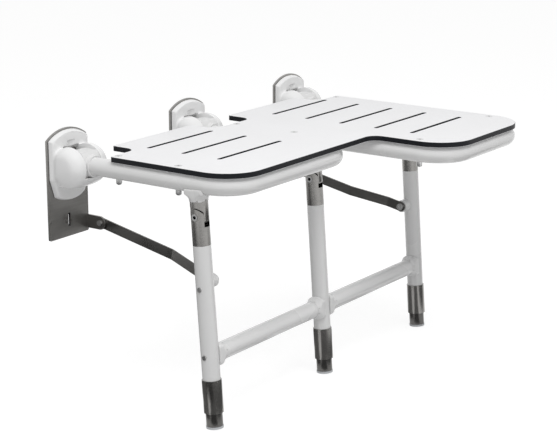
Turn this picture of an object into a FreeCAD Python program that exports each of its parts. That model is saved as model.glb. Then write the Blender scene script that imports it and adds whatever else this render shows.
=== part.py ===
import FreeCAD, Part
import math
import os
import Sketcher
from FreeCAD import Placement, Rotation, Vector

# Fold down wall seat: three wall hinges along X, seat out to -Y, +Z up.
# The origin is on the wall plane at the middle hinge, at fold axis height.

SIZES = [
    ("mount_pitch", 360, "distance from one wall hinge to the next"),
    ("plate_width", 108, "wall plate"),
    ("plate_thick", 4, ""),
    ("plate_top", 65, "crown of the arched top above the fold axis"),
    ("plate_arch", 90, "radius of the arched top"),
    ("long_plate_drop", 143.5, "lower edge of the outer plates below the axis"),
    ("short_plate_drop", 78, "lower edge of the middle plate below the axis"),
    ("plate_corner", 4, ""),
    ("bolt_span_x", 64, "wall screw holes"),
    ("bolt_span_z", 90, ""),
    ("bolt_hole", 3.3, "radius"),
    ("level_slot_width", 5, "upright slot low on the outer plates"),
    ("level_slot_length", 24, ""),
    ("level_slot_drop", 111.5, ""),
    ("tab_height", 26, "ear bent out of the outer plates"),
    ("axis_reach", 32, "fold axis in front of the wall"),
    ("pin_radius", 5, ""),
    ("pin_half", 31.5, "half length of a hinge pin"),
    ("pin_play", 0.06, "radial"),
    ("lug_thick", 4, "steel lugs that hold a pin"),
    ("lug_radius", 13, ""),
    ("slot_gap", 0.7, "each side of the knuckle in the dome slot"),
    ("cheek", 2, "walls beside the dome slot"),
    ("lug_gap", 0.6, "lug to slot wall"),
    ("knuckle_width", 43.4, ""),
    ("knuckle_radius", 36.5, ""),
    ("knuckle_top", 26, "height of its flat above the axis"),
    ("knuckle_core", 26, "radius all round"),
    ("knuckle_gap", 0.5, "radial, inside the dome"),
    ("neck_radius", 20.5, ""),
    ("neck_reach", 41, "from the fold axis"),
    ("socket_floor", 22, "from the fold axis"),
    ("cover_half_width", 51, ""),
    ("cover_depth", 10.4, ""),
    ("cover_slope", 18, "degrees, of its side walls"),
    ("cover_top", 62.5, "crown of its rim above the fold axis"),
    ("cover_arch", 90, ""),
    ("cover_waist", 27, "where its sides start to draw in, below the axis"),
    ("cover_foot_half", 39, "half width at the lower corners"),
    ("cover_foot_rise", 62, "lower corners below the axis"),
    ("cover_bottom", 73, "lowest point below the axis"),
    ("dome_radius", 40, ""),
    ("dome_end_radius", 36, "of its crown arc over the ends, before rounding"),
    ("dome_half_width", 47.5, ""),
    ("dome_round", 18, "rounding of its ends"),
    ("dome_reach", 33, "dome axis in front of the wall"),
    ("dome_drop", 4, "dome axis below the fold axis"),
    ("cover_wall", 2.2, ""),
    ("neck_gap", 0.7, "round the neck in the dome"),
    ("scoop_top", 42.5, "groove for the upright neck, above the fold axis"),
    ("tube_radius", 17, "frame tube"),
    ("tube_wall", 2.5, ""),
    ("tube_bend", 60, "centre line radius"),
    ("front_run", 390, "main front tube from the wall"),
    ("wing_run", 567, "wing front tube from the wall"),
    ("wing_tube_x", 83, "wing side tube"),
    ("brace_run", 140, "where the wing tube meets the middle tube"),
    ("panel_thick", 10, ""),
    ("panel_half_width", 375, ""),
    ("panel_rear", 62, "from the wall"),
    ("panel_front", "=front_run+tube_radius", ""),
    ("wing_front", "=wing_run+tube_radius", ""),
    ("wing_side", "=wing_tube_x-tube_radius", ""),
    ("notch_depth", 59, "openings round the hinges"),
    ("notch_half_width", 60, ""),
    ("panel_corner", 74, ""),
    ("panel_inner_corner", 24, ""),
    ("notch_corner", 22, ""),
    ("panel_tip_corner", 7, ""),
    ("panel_edge", 0.8, "chamfer along the top"),
    ("drain_length", 196, ""),
    ("drain_width", 8, ""),
    ("drain_first", 131, "first row from the wall"),
    ("drain_step", 82, ""),
    ("drain_main_x", -180, "centre of the main rows"),
    ("drain_wing_x", 221.5, "centre of the wing rows"),
    ("screw_rear", 130, "panel screws from the wall"),
    ("screw_mid", "=leg_pivot_reach-screw_ahead", ""),
    ("screw_ahead", 47, "from the leg pivot back to the screw"),
    ("screw_wing", "=wing_run-screw_setback", ""),
    ("screw_setback", 64, "wing screws behind the wing tube's centre line"),
    ("screw_radius", 3, ""),
    ("screw_play", 0.3, ""),
    ("head_radius", 7.5, ""),
    ("head_thick", 2.4, ""),
    ("nut_radius", 5.6, ""),
    ("nut_thick", 6, ""),
    ("leg_pivot_reach", "=front_run-leg_setback", "leg pivot from the wall"),
    ("leg_setback", 74, "leg pivot behind the front tube's centre line"),
    ("leg_pivot_drop", 58, "leg pivot below the fold axis"),
    ("leg_tilt", 4.2, "degrees, feet away from the wall"),
    ("leg_radius", 16.5, ""),
    ("leg_wall", 2, ""),
    ("tongue_thick", 14, ""),
    ("tongue_gap", 0.3, "each side of the tongue"),
    ("tongue_end", 14.6, "radius of the ears about the pivot, with shoulder_gap"),
    ("tongue_tip", 17.2, "radius of the blade's end about the pivot"),
    ("shoulder_gap", 0.8, "round the clevis ears"),
    ("clevis_slot", "=tongue_tip+slot_room", "slot's floor below the pivot"),
    ("slot_room", 0.8, ""),
    ("clevis_length", 52.4, "lower edge below the pivot"),
    ("collar_foot", 27, "collar lip above the pivot"),
    ("collar_long", 25.5, "collar half length along the frame tube"),
    ("collar_lip", 0.9, "lip stands out from the leg"),
    ("collar_flare", 13, "radius of its concave flare"),
    ("collar_mid", 41, "where the flare ends, above the pivot"),
    ("collar_top", 51, "upper edge above the pivot"),
    ("collar_ease", 0.7, "sideways room where the frame tube starts to bend"),
    ("collar_cheek", 17.9, "half width of a collar's flat cheeks"),
    ("stub_top", 34, "tongue fitting inside the collar, above the pivot"),
    ("pivot_bolt", 4, "radius"),
    ("pivot_head", 6.4, "radius"),
    ("pivot_seat", 12.4, "head seat from the leg centre"),
    ("pivot_head_thick", 3.6, ""),
    ("hex_radius", 2.9, "socket in the bolt heads, over corners"),
    ("hex_depth", 2.4, ""),
    ("leg_length", 302.2, "pivot to the sleeve's top"),
    ("sleeve_radius", 18.2, ""),
    ("sleeve_length", 62.1, ""),
    ("sleeve_overlap", 15, "leg tube inside the sleeve"),
    ("foot_radius", 15.5, ""),
    ("foot_wall", 2.5, ""),
    ("foot_play", 0.08, "radial, in the sleeve"),
    ("foot_hold", 21, "foot tube inside the sleeve as shown"),
    ("foot_end", "=leg_length+sleeve_length+foot_reach", "foot tube's lower end below the pivot"),
    ("foot_reach", 25.6, "foot tube seen below the sleeve"),
    ("cap_radius", 16.1, ""),
    ("cap_thick", 4, ""),
    ("cap_plug", 9, ""),
    ("bar_drop", "=leg_length-bar_rise", "cross bar below the pivot along the leg"),
    ("bar_rise", 44, "cross bar above the sleeve's top"),
    ("bar_collar", 35, "cross bar collar's lip from the leg centre"),
    ("bar_collar_long", 23.5, "its half height on the leg"),
    ("bar_collar_mid", 19, "flare's end from the leg centre"),
    ("bar_collar_root", 9, "inner edge from the leg centre"),
    ("bar_inset", 25, "bar end from the leg centre"),
    ("side_screw", 4.2, "radius of the small heads on the outer legs"),
    ("side_screw_seat", 15.8, "from the leg centre"),
    ("side_screw_thick", 2.2, ""),
    ("side_screw_rise", -6.5, "upper small head from the link's boss, up is plus"),
    ("link_y_offset", 3, "wall pivot of the link below the fold axis"),
    ("link_drop", 125, ""),
    ("link_width", 20, ""),
    ("link_thick", 3, ""),
    ("link_play", 0.3, "at faces and in the hole at the leg"),
    ("link_pin_play", 0.06, "radial, in the hole at the wall"),
    ("link_bend", 175, "first bend from the wall pivot"),
    ("link_joggle", 82, "length of the slanted stretch"),
    ("boss_radius", 12.5, ""),
    ("boss_end", 33, "boss face from the leg centre"),
    ("link_bolt", 4, "radius"),
    ("link_head", 7, "radius"),
    ("link_head_thick", 4, ""),
    ("tab_head", 5.2, "radius of the head on the wall tab"),
    ("tab_head_thick", 2.6, ""),
    ("link_nut_thick", 4, ""),
]

doc = FreeCAD.newDocument("fold_down_wall_seat")
sheet = doc.addObject("Spreadsheet::Sheet", "Sizes")
for row, (alias, value, note) in enumerate(SIZES, start=1):
    sheet.set("A%d" % row, alias)
    sheet.set("B%d" % row, str(value))
    sheet.set("C%d" % row, note)
    sheet.setAlias("B%d" % row, alias)
doc.recompute()
guess = doc.addObject("Spreadsheet::Sheet", "Guesses")
parts = []


def v(name):
    return float(sheet.get(name))


def ex(text):
    """Expression text: a size is written with a leading @."""
    return str(text).replace("@", "Sizes.")


def num(text):
    """The same expression as a number, for first guesses in sketches."""
    guess.set("A1", "=" + ex(text))
    guess.recompute()
    value = guess.get("A1")
    return float(getattr(value, "Value", value))


def bind(obj, **props):
    for key, text in props.items():
        obj.setExpression(key, ex(text))


def place(obj, x="0", y="0", z="0", axis=None, angle=None):
    if axis is not None:
        obj.Placement = Placement(Vector(), Rotation(Vector(*axis), 1))
        obj.setExpression("Placement.Rotation.Angle", ex(angle))
    for key, text in (("x", x), ("y", y), ("z", z)):
        if str(text) != "0":
            obj.setExpression("Placement.Base." + key, ex(text))
    return obj


def box(name, size, corner):
    b = doc.addObject("Part::Box", name)
    bind(b, Length=size[0], Width=size[1], Height=size[2])
    return place(b, *corner)


TURN = {"X": ((0, 1, 0), 90), "Y": ((1, 0, 0), 90), "Z": (None, None)}


def rod(name, radius, length, start, along="Z"):
    """Cylinder from start, towards +X, -Y or +Z."""
    c = doc.addObject("Part::Cylinder", name)
    bind(c, Radius=radius, Height=length)
    axis, angle = TURN[along]
    return place(c, start[0], start[1], start[2], axis, angle)


def cut(name, base, *tools):
    tool = tools[0] if len(tools) == 1 else fuse(name + "_tools", *tools)
    c = doc.addObject("Part::Cut", name)
    c.Base, c.Tool = base, tool
    return c


def fuse(name, *shapes):
    f = doc.addObject("Part::MultiFuse", name)
    f.Shapes = list(shapes)
    return f


def common(name, *shapes):
    c = doc.addObject("Part::MultiCommon", name)
    c.Shapes = list(shapes)
    return c


def group(name, *shapes):
    c = doc.addObject("Part::Compound", name)
    c.Links = list(shapes)
    return c


def keep(obj, label):
    obj.Label = label
    parts.append(obj)
    return obj


def new_body(name):
    return doc.addObject("PartDesign::Body", name)


def sketch_on(body, name, role, offset="0"):
    sk = body.newObject("Sketcher::SketchObject", name)
    plane = [f for f in body.Origin.OriginFeatures if f.Role == role][0]
    sk.AttachmentSupport = (plane, [""])
    sk.MapMode = "FlatFace"
    if str(offset) != "0":
        sk.setExpression("AttachmentOffset.Base.z", ex(offset))
    return sk


def tie(sk, kind, geo, pos, text):
    """Signed distance of a sketch point from the origin, bound to the sheet."""
    index = sk.addConstraint(Sketcher.Constraint(kind, -1, 1, geo, pos, num(text)))
    sk.setExpression("Constraints[%d]" % index, ex(text))


def loop(sk, points):
    """Closed outline. Each point is (x, y) or (x, y, radius, side): the span
    to the next point is then an arc that bulges to the left (1) or right (-1)."""
    first = sk.GeometryCount
    spots = [Vector(num(p[0]), num(p[1]), 0) for p in points]
    ends = []
    for i, p in enumerate(points):
        a, b = spots[i], spots[(i + 1) % len(points)]
        if len(p) == 2:
            sk.addGeometry(Part.LineSegment(a, b), False)
            ends.append((1, 2))
            continue
        radius, side = num(p[2]), p[3]
        half = (b - a) * 0.5
        across = Vector(-half.y, half.x, 0).normalize()
        height = math.sqrt(max(radius ** 2 - half.Length ** 2, 0))
        centre = a + half - across * (side * height)
        start, end = (b, a) if side > 0 else (a, b)
        angles = [math.atan2(q.y - centre.y, q.x - centre.x) for q in (start, end)]
        if angles[1] <= angles[0]:
            angles[1] += 2 * math.pi
        circle = Part.Circle(centre, Vector(0, 0, 1), radius)
        sk.addGeometry(Part.ArcOfCircle(circle, *angles), False)
        ends.append((2, 1) if side > 0 else (1, 2))
    count = len(points)
    for i in range(count):
        j = (i + 1) % count
        sk.addConstraint(Sketcher.Constraint(
            "Coincident", first + i, ends[i][1], first + j, ends[j][0]))
    for i, p in enumerate(points):
        tie(sk, "DistanceX", first + i, ends[i][0], p[0])
        tie(sk, "DistanceY", first + i, ends[i][0], p[1])
        if len(p) > 2:
            chord = spots[(i + 1) % count] - spots[i]
            if chord.Length > 1.9999 * num(p[2]):
                # A half circle: its centre is tied level with its ends.
                axis = 0 if abs(chord.x) < abs(chord.y) else 1
                tie(sk, ("DistanceX", "DistanceY")[axis], first + i, 3, p[axis])
                continue
            index = sk.addConstraint(Sketcher.Constraint("Radius", first + i, num(p[2])))
            sk.setExpression("Constraints[%d]" % index, ex(p[2]))


def circle(sk, x, y, radius):
    geo = sk.addGeometry(Part.Circle(Vector(num(x), num(y), 0), Vector(0, 0, 1), num(radius)), False)
    tie(sk, "DistanceX", geo, 3, x)
    tie(sk, "DistanceY", geo, 3, y)
    index = sk.addConstraint(Sketcher.Constraint("Radius", geo, num(radius)))
    sk.setExpression("Constraints[%d]" % index, ex(radius))


def slot(sk, x, y, length, width, upright=False):
    """Round ended slot about (x, y)."""
    r = "(%s)/2" % width
    s = "((%s)/2-(%s)/2)" % (length, width)
    if upright:
        loop(sk, [("%s-%s" % (x, r), "%s-%s" % (y, s), r, -1), ("%s+%s" % (x, r), "%s-%s" % (y, s)),
                  ("%s+%s" % (x, r), "%s+%s" % (y, s), r, -1), ("%s-%s" % (x, r), "%s+%s" % (y, s))])
    else:
        loop(sk, [("%s-%s" % (x, s), "%s-%s" % (y, r)), ("%s+%s" % (x, s), "%s-%s" % (y, r), r, -1),
                  ("%s+%s" % (x, s), "%s+%s" % (y, r)), ("%s-%s" % (x, s), "%s+%s" % (y, r), r, -1)])


def pad(body, sk, length, back=False, both=False, taper=None):
    p = body.newObject("PartDesign::Pad", sk.Name + "_pad")
    p.Profile = sk
    p.Reversed, p.Midplane = back, both
    bind(p, Length=length)
    if taper is not None:
        p.setExpression("TaperAngle", ex(taper))
    return p


def pocket(body, sk, length=None, back=False, both=False):
    p = body.newObject("PartDesign::Pocket", sk.Name + "_cut")
    p.Profile = sk
    p.Reversed, p.Midplane = back, both
    if length is None:
        p.Type = "ThroughAll"
        p.Midplane = True
    else:
        bind(p, Length=length)
    return p


def fillet_at(body, base, radius, chooser, kind="Fillet"):
    """Round (or chamfer) the edges of the body's last shape that chooser picks."""
    doc.recompute()
    names = ["Edge%d" % (i + 1) for i, e in enumerate(base.Shape.Edges) if chooser(e)]
    f = body.newObject("PartDesign::" + kind, body.Name + "_round%d" % len(body.Group))
    f.Base = (base, names)
    bind(f, **({"Radius": radius} if kind == "Fillet" else {"Size": radius}))
    return f


def upright(edge, spots=None):
    a, b = edge.Vertexes[0].Point, edge.Vertexes[-1].Point
    if abs(a.x - b.x) > 1e-4 or abs(a.y - b.y) > 1e-4:
        return False
    if spots is None:
        return True
    return any(abs(a.x - x) < 0.05 and abs(a.y - y) < 0.05 for x, y in spots)


SIDES = (("left", -1), ("middle", 0), ("right", 1))
at_axis = ("0", "-@axis_reach", "0")
leg_place = dict(y="-@leg_pivot_reach", z="-@leg_pivot_drop", axis=(-1, 0, 0), angle="@leg_tilt")


def mount_x(side):
    return "%d*@mount_pitch" % side


# Wall plates. The outer two are long, with an ear bent out for the link.
for side_name, side in SIDES:
    body = new_body("Plate_" + side_name)
    sk = sketch_on(body, "PlateOutline_" + side_name, "XZ_Plane")
    drop = "@long_plate_drop" if side else "@short_plate_drop"
    half = "@plate_width/2"
    shoulder = "(@plate_top-@plate_arch+sqrt(@plate_arch^2-(@plate_width/2)^2))"
    loop(sk, [("-" + half, "-" + drop), (half, "-" + drop),
              (half, shoulder, "@plate_arch", -1), ("-" + half, shoulder)])
    base = pad(body, sk, "@plate_thick")
    if side:
        tab = sketch_on(body, "PlateTab_" + side_name, "YZ_Plane",
                        "%d*%s" % (-side, half))
        reach = "-(@axis_reach+@link_y_offset)"
        high, low = "-@link_drop+@tab_height/2", "-@link_drop-@tab_height/2"
        loop(tab, [("0", low), ("0", high), (reach, high, "@tab_height/2", 1), (reach, low)])
        base = pad(body, tab, "@plate_thick", back=side < 0)
        hole = sketch_on(body, "TabHole_" + side_name, "YZ_Plane",
                         "%d*%s" % (-side, half))
        circle(hole, reach, "-@link_drop", "@link_bolt")
        base = pocket(body, hole, "@plate_thick*2", both=True)
    holes = sketch_on(body, "PlateHoles_" + side_name, "XZ_Plane")
    for sx in (-1, 1):
        for sz in (-1, 1):
            circle(holes, "%d*@bolt_span_x/2" % sx, "%d*@bolt_span_z/2" % sz, "@bolt_hole")
    if side:
        slot(holes, "0", "-@level_slot_drop", "@level_slot_length", "@level_slot_width", True)
    base = pocket(body, holes, "@plate_thick*2", both=True)
    bottom = -v("long_plate_drop" if side else "short_plate_drop")
    base = fillet_at(body, base, "@plate_corner", lambda e: (
        abs(e.BoundBox.YLength - v("plate_thick")) < 1e-3 and e.BoundBox.XLength < 1e-3
        and e.BoundBox.ZLength < 1e-3 and e.BoundBox.ZMin < bottom + 1e-3))
    place(body, x=mount_x(side))
    keep(body, "wall_plate_" + side_name)

# Hinge lugs stand on each plate and hold the pin.
lug_in = "(@knuckle_width/2+@slot_gap+@cheek+@lug_gap)"
for side_name, side in SIDES:
    lugs = []
    for s in (-1, 1):
        tag = "%s_%s" % (side_name, "a" if s < 0 else "b")
        x0 = lug_in if s > 0 else "-%s-@lug_thick" % lug_in
        web = box("LugWeb_" + tag, ("@lug_thick", "@axis_reach-@plate_thick", "2*@lug_radius"),
                  (x0, "-@axis_reach", "-@lug_radius"))
        end = rod("LugEnd_" + tag, "@lug_radius", "@lug_thick", (x0, "-@axis_reach", "0"), "X")
        bore = rod("LugBore_" + tag, "@pin_radius", "@lug_thick+2", (x0 + "-1", "-@axis_reach", "0"), "X")
        lugs.append(cut("Lug_" + tag, fuse("LugSolid_" + tag, web, end), bore))
    lug_pair = group("Lugs_" + side_name, *lugs)
    place(lug_pair, x=mount_x(side))
    keep(lug_pair, "hinge_lugs_" + side_name)

pins = []
for side_name, side in SIDES:
    pins.append(rod("Pin_" + side_name, "@pin_radius", "2*@pin_half",
                    (mount_x(side) + "-@pin_half", "-@axis_reach", "0"), "X"))
keep(group("Pins", *pins), "hinge_pins")

def dome_profile(inset):
    """Half section of the dome on its axis: flat end, rounding, low crown."""
    d, end = "@dome_half_width", "(@dome_half_width-@dome_round)"
    rise = "(@dome_radius-@dome_end_radius)"
    crown = "((%s^2+%s^2)/(2*%s))" % (d, rise, rise)
    deep = "(%s-@dome_radius)" % crown
    rim = "(sqrt((%s-@dome_round)^2-%s^2)-%s)" % (crown, end, deep)
    x = "(%s*(%s-%s)/(%s-@dome_round))" % (end, crown, inset, crown)
    tip = "(sqrt((%s-%s)^2-%s^2)-%s)" % (crown, inset, x, deep)
    side, turn = "(%s-%s)" % (d, inset), "(@dome_round-%s)" % inset
    return [("-" + side, "0"), ("-" + side, "-" + rim, turn, -1),
            ("-" + x, "-" + tip, "(%s-%s)" % (crown, inset), -1), (x, "-" + tip, turn, -1),
            (side, "-" + rim), (side, "0")]


# Moulded cover: tapered plate with a rounded dome, slotted for the knuckle.
for side_name, side in SIDES:
    body = new_body("CoverForm_" + side_name)
    sk = sketch_on(body, "CoverOutline_" + side_name, "XZ_Plane", "@plate_thick")
    w = "@cover_half_width"
    shoulder = "(@cover_top-@cover_arch+sqrt(@cover_arch^2-@cover_half_width^2))"
    foot = "@cover_foot_half"
    sagitta = "(@cover_bottom-@cover_foot_rise)"
    foot_arc = "((@cover_foot_half^2+%s^2)/(2*%s))" % (sagitta, sagitta)
    loop(sk, [("-" + foot, "-@cover_foot_rise", foot_arc, -1), (foot, "-@cover_foot_rise"),
              (w, "-@cover_waist"), (w, shoulder, "@cover_arch", -1), ("-" + w, shoulder),
              ("-" + w, "-@cover_waist")])
    form = pad(body, sk, "@cover_depth", taper="-@cover_slope")
    dome = sketch_on(body, "DomeProfile_" + side_name, "XY_Plane", "-@dome_drop")
    bind(dome, **{"AttachmentOffset.Base.y": "-@dome_reach"})
    loop(dome, dome_profile("0"))
    turn = body.newObject("PartDesign::Revolution", "Dome_" + side_name)
    turn.Profile = dome
    turn.ReferenceAxis = (dome, ["H_Axis"])
    turn.Angle = 360
    # Hollow behind: inset rim, inset dome cheeks, and the bearing slot.
    hollow = new_body("CoverHollow_" + side_name)
    sk = sketch_on(hollow, "HollowOutline_" + side_name, "XZ_Plane", "@plate_thick")
    w, foot = "(@cover_half_width-2*@cover_wall)", "(@cover_foot_half-2*@cover_wall)"
    low = "(@cover_foot_rise-2*@cover_wall)"
    loop(sk, [("-" + foot, "-" + low), (foot, "-" + low), (w, "-@cover_waist"),
              (w, shoulder + "-3*@cover_wall"), ("-" + w, shoulder + "-3*@cover_wall"),
              ("-" + w, "-@cover_waist")])
    pad(hollow, sk, "@cover_depth-@cover_wall")
    inner = sketch_on(hollow, "HollowDome_" + side_name, "XY_Plane", "-@dome_drop")
    bind(inner, **{"AttachmentOffset.Base.y": "-@dome_reach"})
    loop(inner, dome_profile("@cover_wall"))
    turn = hollow.newObject("PartDesign::Revolution", "DomeHollow_" + side_name)
    turn.Profile = inner
    turn.ReferenceAxis = (inner, ["H_Axis"])
    turn.Angle = 360
    gap = "(@knuckle_width/2+@slot_gap)"
    wall = "(%s+@cheek)" % gap
    core = "(@knuckle_radius+@knuckle_gap)"
    keep_in = box("CoverCore_" + side_name, ("2*" + wall, "200", "%s+@scoop_top+6" % core),
                  ("-" + wall, "-150", "-%s-@cover_wall" % core))
    room = cut("CoverRoom_" + side_name, hollow, keep_in)
    behind = box("CoverBack_" + side_name, ("300", "@plate_thick+100", "300"),
                 ("-150", "-@plate_thick", "-150"))
    bearing = rod("CoverBearing_" + side_name, core, "2*" + gap,
                  ("-" + gap, "-@axis_reach", "0"), "X")
    mouth = box("CoverMouth_" + side_name,
                ("2*" + gap, "100-@plate_thick-@cover_depth", "@neck_radius+@neck_gap+100"),
                ("-" + gap, "-100", "-@neck_radius-@neck_gap"))
    scoop = rod("CoverScoop_" + side_name, "@neck_radius+@neck_gap", "@scoop_top",
                ("0", "-@axis_reach", "0"))
    bore = rod("CoverBore_" + side_name, "@pin_radius+@lug_gap", "2*(%s+1)" % wall,
               ("-(%s+1)" % wall, "-@axis_reach", "0"), "X")
    cover = cut("Cover_" + side_name, body, room, behind, bearing, mouth, scoop, bore)
    place(cover, x=mount_x(side))
    keep(cover, "hinge_cover_" + side_name)

# Knuckle: turns on the pin. Flats on top and behind clear the wall plate.
for side_name, side in SIDES:
    body = new_body("Knuckle_" + side_name)
    sk = sketch_on(body, "KnuckleOutline_" + side_name, "YZ_Plane")
    y0 = "-@axis_reach"
    rim = "sqrt(@knuckle_radius^2-@knuckle_top^2)"
    rim_back = "sqrt(@knuckle_radius^2-@knuckle_core^2)"
    loop(sk, [(y0 + "-" + rim, "@knuckle_top", "@knuckle_radius", -1),
              (y0 + "-@knuckle_radius", "0", "@knuckle_radius", -1),
              (y0 + "+@knuckle_core", "-" + rim_back),
              (y0 + "+@knuckle_core", "0", "@knuckle_core", -1),
              (y0, "@knuckle_top")])
    pad(body, sk, "@knuckle_width", both=True)
    neck = sketch_on(body, "Neck_" + side_name, "XZ_Plane", "@axis_reach")
    circle(neck, "0", "0", "@neck_radius")
    base = pad(body, neck, "@neck_reach")
    base = fillet_at(body, base, "@panel_edge*1.5", lambda e: (
        abs(e.BoundBox.YMin + v("axis_reach") + v("neck_reach")) < 0.01))
    socket = sketch_on(body, "Socket_" + side_name, "XZ_Plane", "@axis_reach+@neck_reach")
    circle(socket, "0", "0", "@tube_radius")
    pocket(body, socket, "@neck_reach-@socket_floor")
    pin_hole = sketch_on(body, "PinHole_" + side_name, "YZ_Plane")
    circle(pin_hole, y0, "0", "@pin_radius+@pin_play")
    pocket(body, pin_hole)
    place(body, x=mount_x(side))
    keep(body, "hinge_knuckle_" + side_name)

# Seat frame tubes, bent with one centre line radius.


def hollow(name, make):
    """A tube piece from two solid ones of the same form."""
    return cut(name, make(name + "_out", "@tube_radius"), make(name + "_in", "@tube_radius-@tube_wall"))


def pipe(name, points):
    """Tube along a flat path of X and Y runs, through (x, y) points, with a
    quarter bend of radius tube_bend at each inner point."""
    pieces = []
    spots = [Vector(num(x), num(y), 0) for x, y in points]
    for i in range(len(points) - 1):
        (x0, y0), (x1, y1) = points[i], points[i + 1]
        run = spots[i + 1] - spots[i]
        first = "@tube_bend" if i else "0"
        last = "@tube_bend" if i < len(points) - 2 else "0"
        along = "X" if abs(run.x) > abs(run.y) else "Y"
        if along == "X":
            lo, hi, a, b = (x0, x1, first, last) if run.x > 0 else (x1, x0, last, first)
            start = ("%s+%s" % (lo, a), y0, "0")
        else:
            hi, lo, a, b = (y0, y1, first, last) if run.y < 0 else (y1, y0, last, first)
            start = (x0, "(%s)-%s" % (hi, a), "0")
        length = "(%s)-(%s)-%s-%s" % (hi, lo, a, b)
        pieces.append(hollow("%s_run%d" % (name, i), lambda tag, r: rod(tag, r, length, start, along)))
        if i == len(points) - 2:
            continue
        nxt = spots[i + 2] - spots[i + 1]
        # Signs from the corner towards the bend's centre.
        sx = -1 if run.x > 1 or nxt.x < -1 else 1
        sy = -1 if run.y > 1 or nxt.y < -1 else 1
        turn = {(-1, -1): 0, (1, -1): 90, (1, 1): 180, (-1, 1): 270}[(sx, sy)]

        def bend(tag, radius):
            ring = doc.addObject("Part::Torus", tag)
            bind(ring, Radius1="@tube_bend", Radius2=radius)
            ring.Angle3 = 90
            return place(ring, "(%s)+%d*@tube_bend" % (x1, sx), "(%s)+%d*@tube_bend" % (y1, sy), "0",
                         (0, 0, 1), str(turn))

        pieces.append(hollow("%s_bend%d" % (name, i), bend))
    return fuse(name, *pieces)


rear = "-(@axis_reach+@socket_floor)"
p, f, w = "@mount_pitch", "-@front_run", "-@wing_run"
left_run = [("-" + p, rear), ("-" + p, f), ("0", f), ("0", rear)]
right_run = [(p, rear), (p, w), ("@wing_tube_x", w), ("@wing_tube_x", "-@brace_run"), ("0", "-@brace_run")]
SCREWS = [("-" + p, "-@screw_rear"), ("-" + p, "-@screw_mid"), ("0", "-@screw_rear"),
          ("0", "-@screw_mid"), (p, "-@screw_rear"), ("@wing_tube_x", "-@screw_wing"),
          (p, "-@screw_wing")]
for name, run, holes in (("left", left_run, SCREWS[:4]), ("right", right_run, SCREWS[4:])):
    tube = pipe("FrameTube_" + name, run)
    tools = [rod("FrameHole_%s%d" % (name, i), "@screw_radius+@screw_play", "3*@tube_radius",
                 (x, y, "-1.5*@tube_radius")) for i, (x, y) in enumerate(holes)]
    if name == "right":
        tools.append(rod("FrameCope", "@tube_radius", "4*@tube_radius",
                         ("0", "-@brace_run+2*@tube_radius", "0"), "Y"))
    keep(cut("Frame_" + name, tube, *tools), "seat_frame_" + name)

# Seat panel with notches round the hinges and a wing on the right.
body = new_body("Panel")
sk = sketch_on(body, "PanelOutline", "XY_Plane", "@tube_radius")
half, rear_y, deep = "@panel_half_width", "-@panel_rear", "-@panel_rear-@notch_depth"
nl, nr = "-@mount_pitch+@notch_half_width", "@mount_pitch-@notch_half_width"
n = "@notch_half_width"
outline = [("-" + half, "-@panel_front"), ("@wing_side", "-@panel_front"),
           ("@wing_side", "-@wing_front"), (half, "-@wing_front"), (half, deep), (nr, deep),
           (nr, rear_y), (n, rear_y), (n, deep), ("-" + n, deep), ("-" + n, rear_y),
           (nl, rear_y), (nl, deep), ("-" + half, deep)]
loop(sk, outline)
base = pad(body, sk, "@panel_thick")
spots = [(num(x), num(y)) for x, y in outline]
for radius, picks in (("@panel_corner", (0, 2, 3)), ("@panel_inner_corner", (1,)),
                      ("@notch_corner", (5, 8, 9, 12)), ("@panel_tip_corner", (4, 6, 7, 10, 11, 13))):
    base = fillet_at(body, base, radius, lambda e: upright(e, [spots[i] for i in picks]))
drains = sketch_on(body, "Drains", "XY_Plane", "@tube_radius")
for row in range(5):
    y = "-@drain_first-%d*@drain_step" % row
    if row < 3:
        slot(drains, "@drain_main_x", y, "@drain_length", "@drain_width")
    slot(drains, "@drain_wing_x", y, "@drain_length", "@drain_width")
for x, y in SCREWS:
    circle(drains, x, y, "@screw_radius+@screw_play")
base = pocket(body, drains, "@panel_thick*2+1", both=True)
sinks = sketch_on(body, "Sinks", "XY_Plane", "@tube_radius+@panel_thick")
for x, y in SCREWS:
    circle(sinks, x, y, "@head_radius")
sink = pocket(body, sinks, "@head_thick")
sink.setExpression("TaperAngle", "45")
top = v("tube_radius") + v("panel_thick")
base = fillet_at(body, sink, "@panel_edge", lambda e: (
    e.BoundBox.ZMin > top - 1e-3 and not (hasattr(e.Curve, "Radius") and abs(
        e.Curve.Radius - v("head_radius")) < 0.01)), "Chamfer")
keep(body, "seat_panel")

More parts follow.
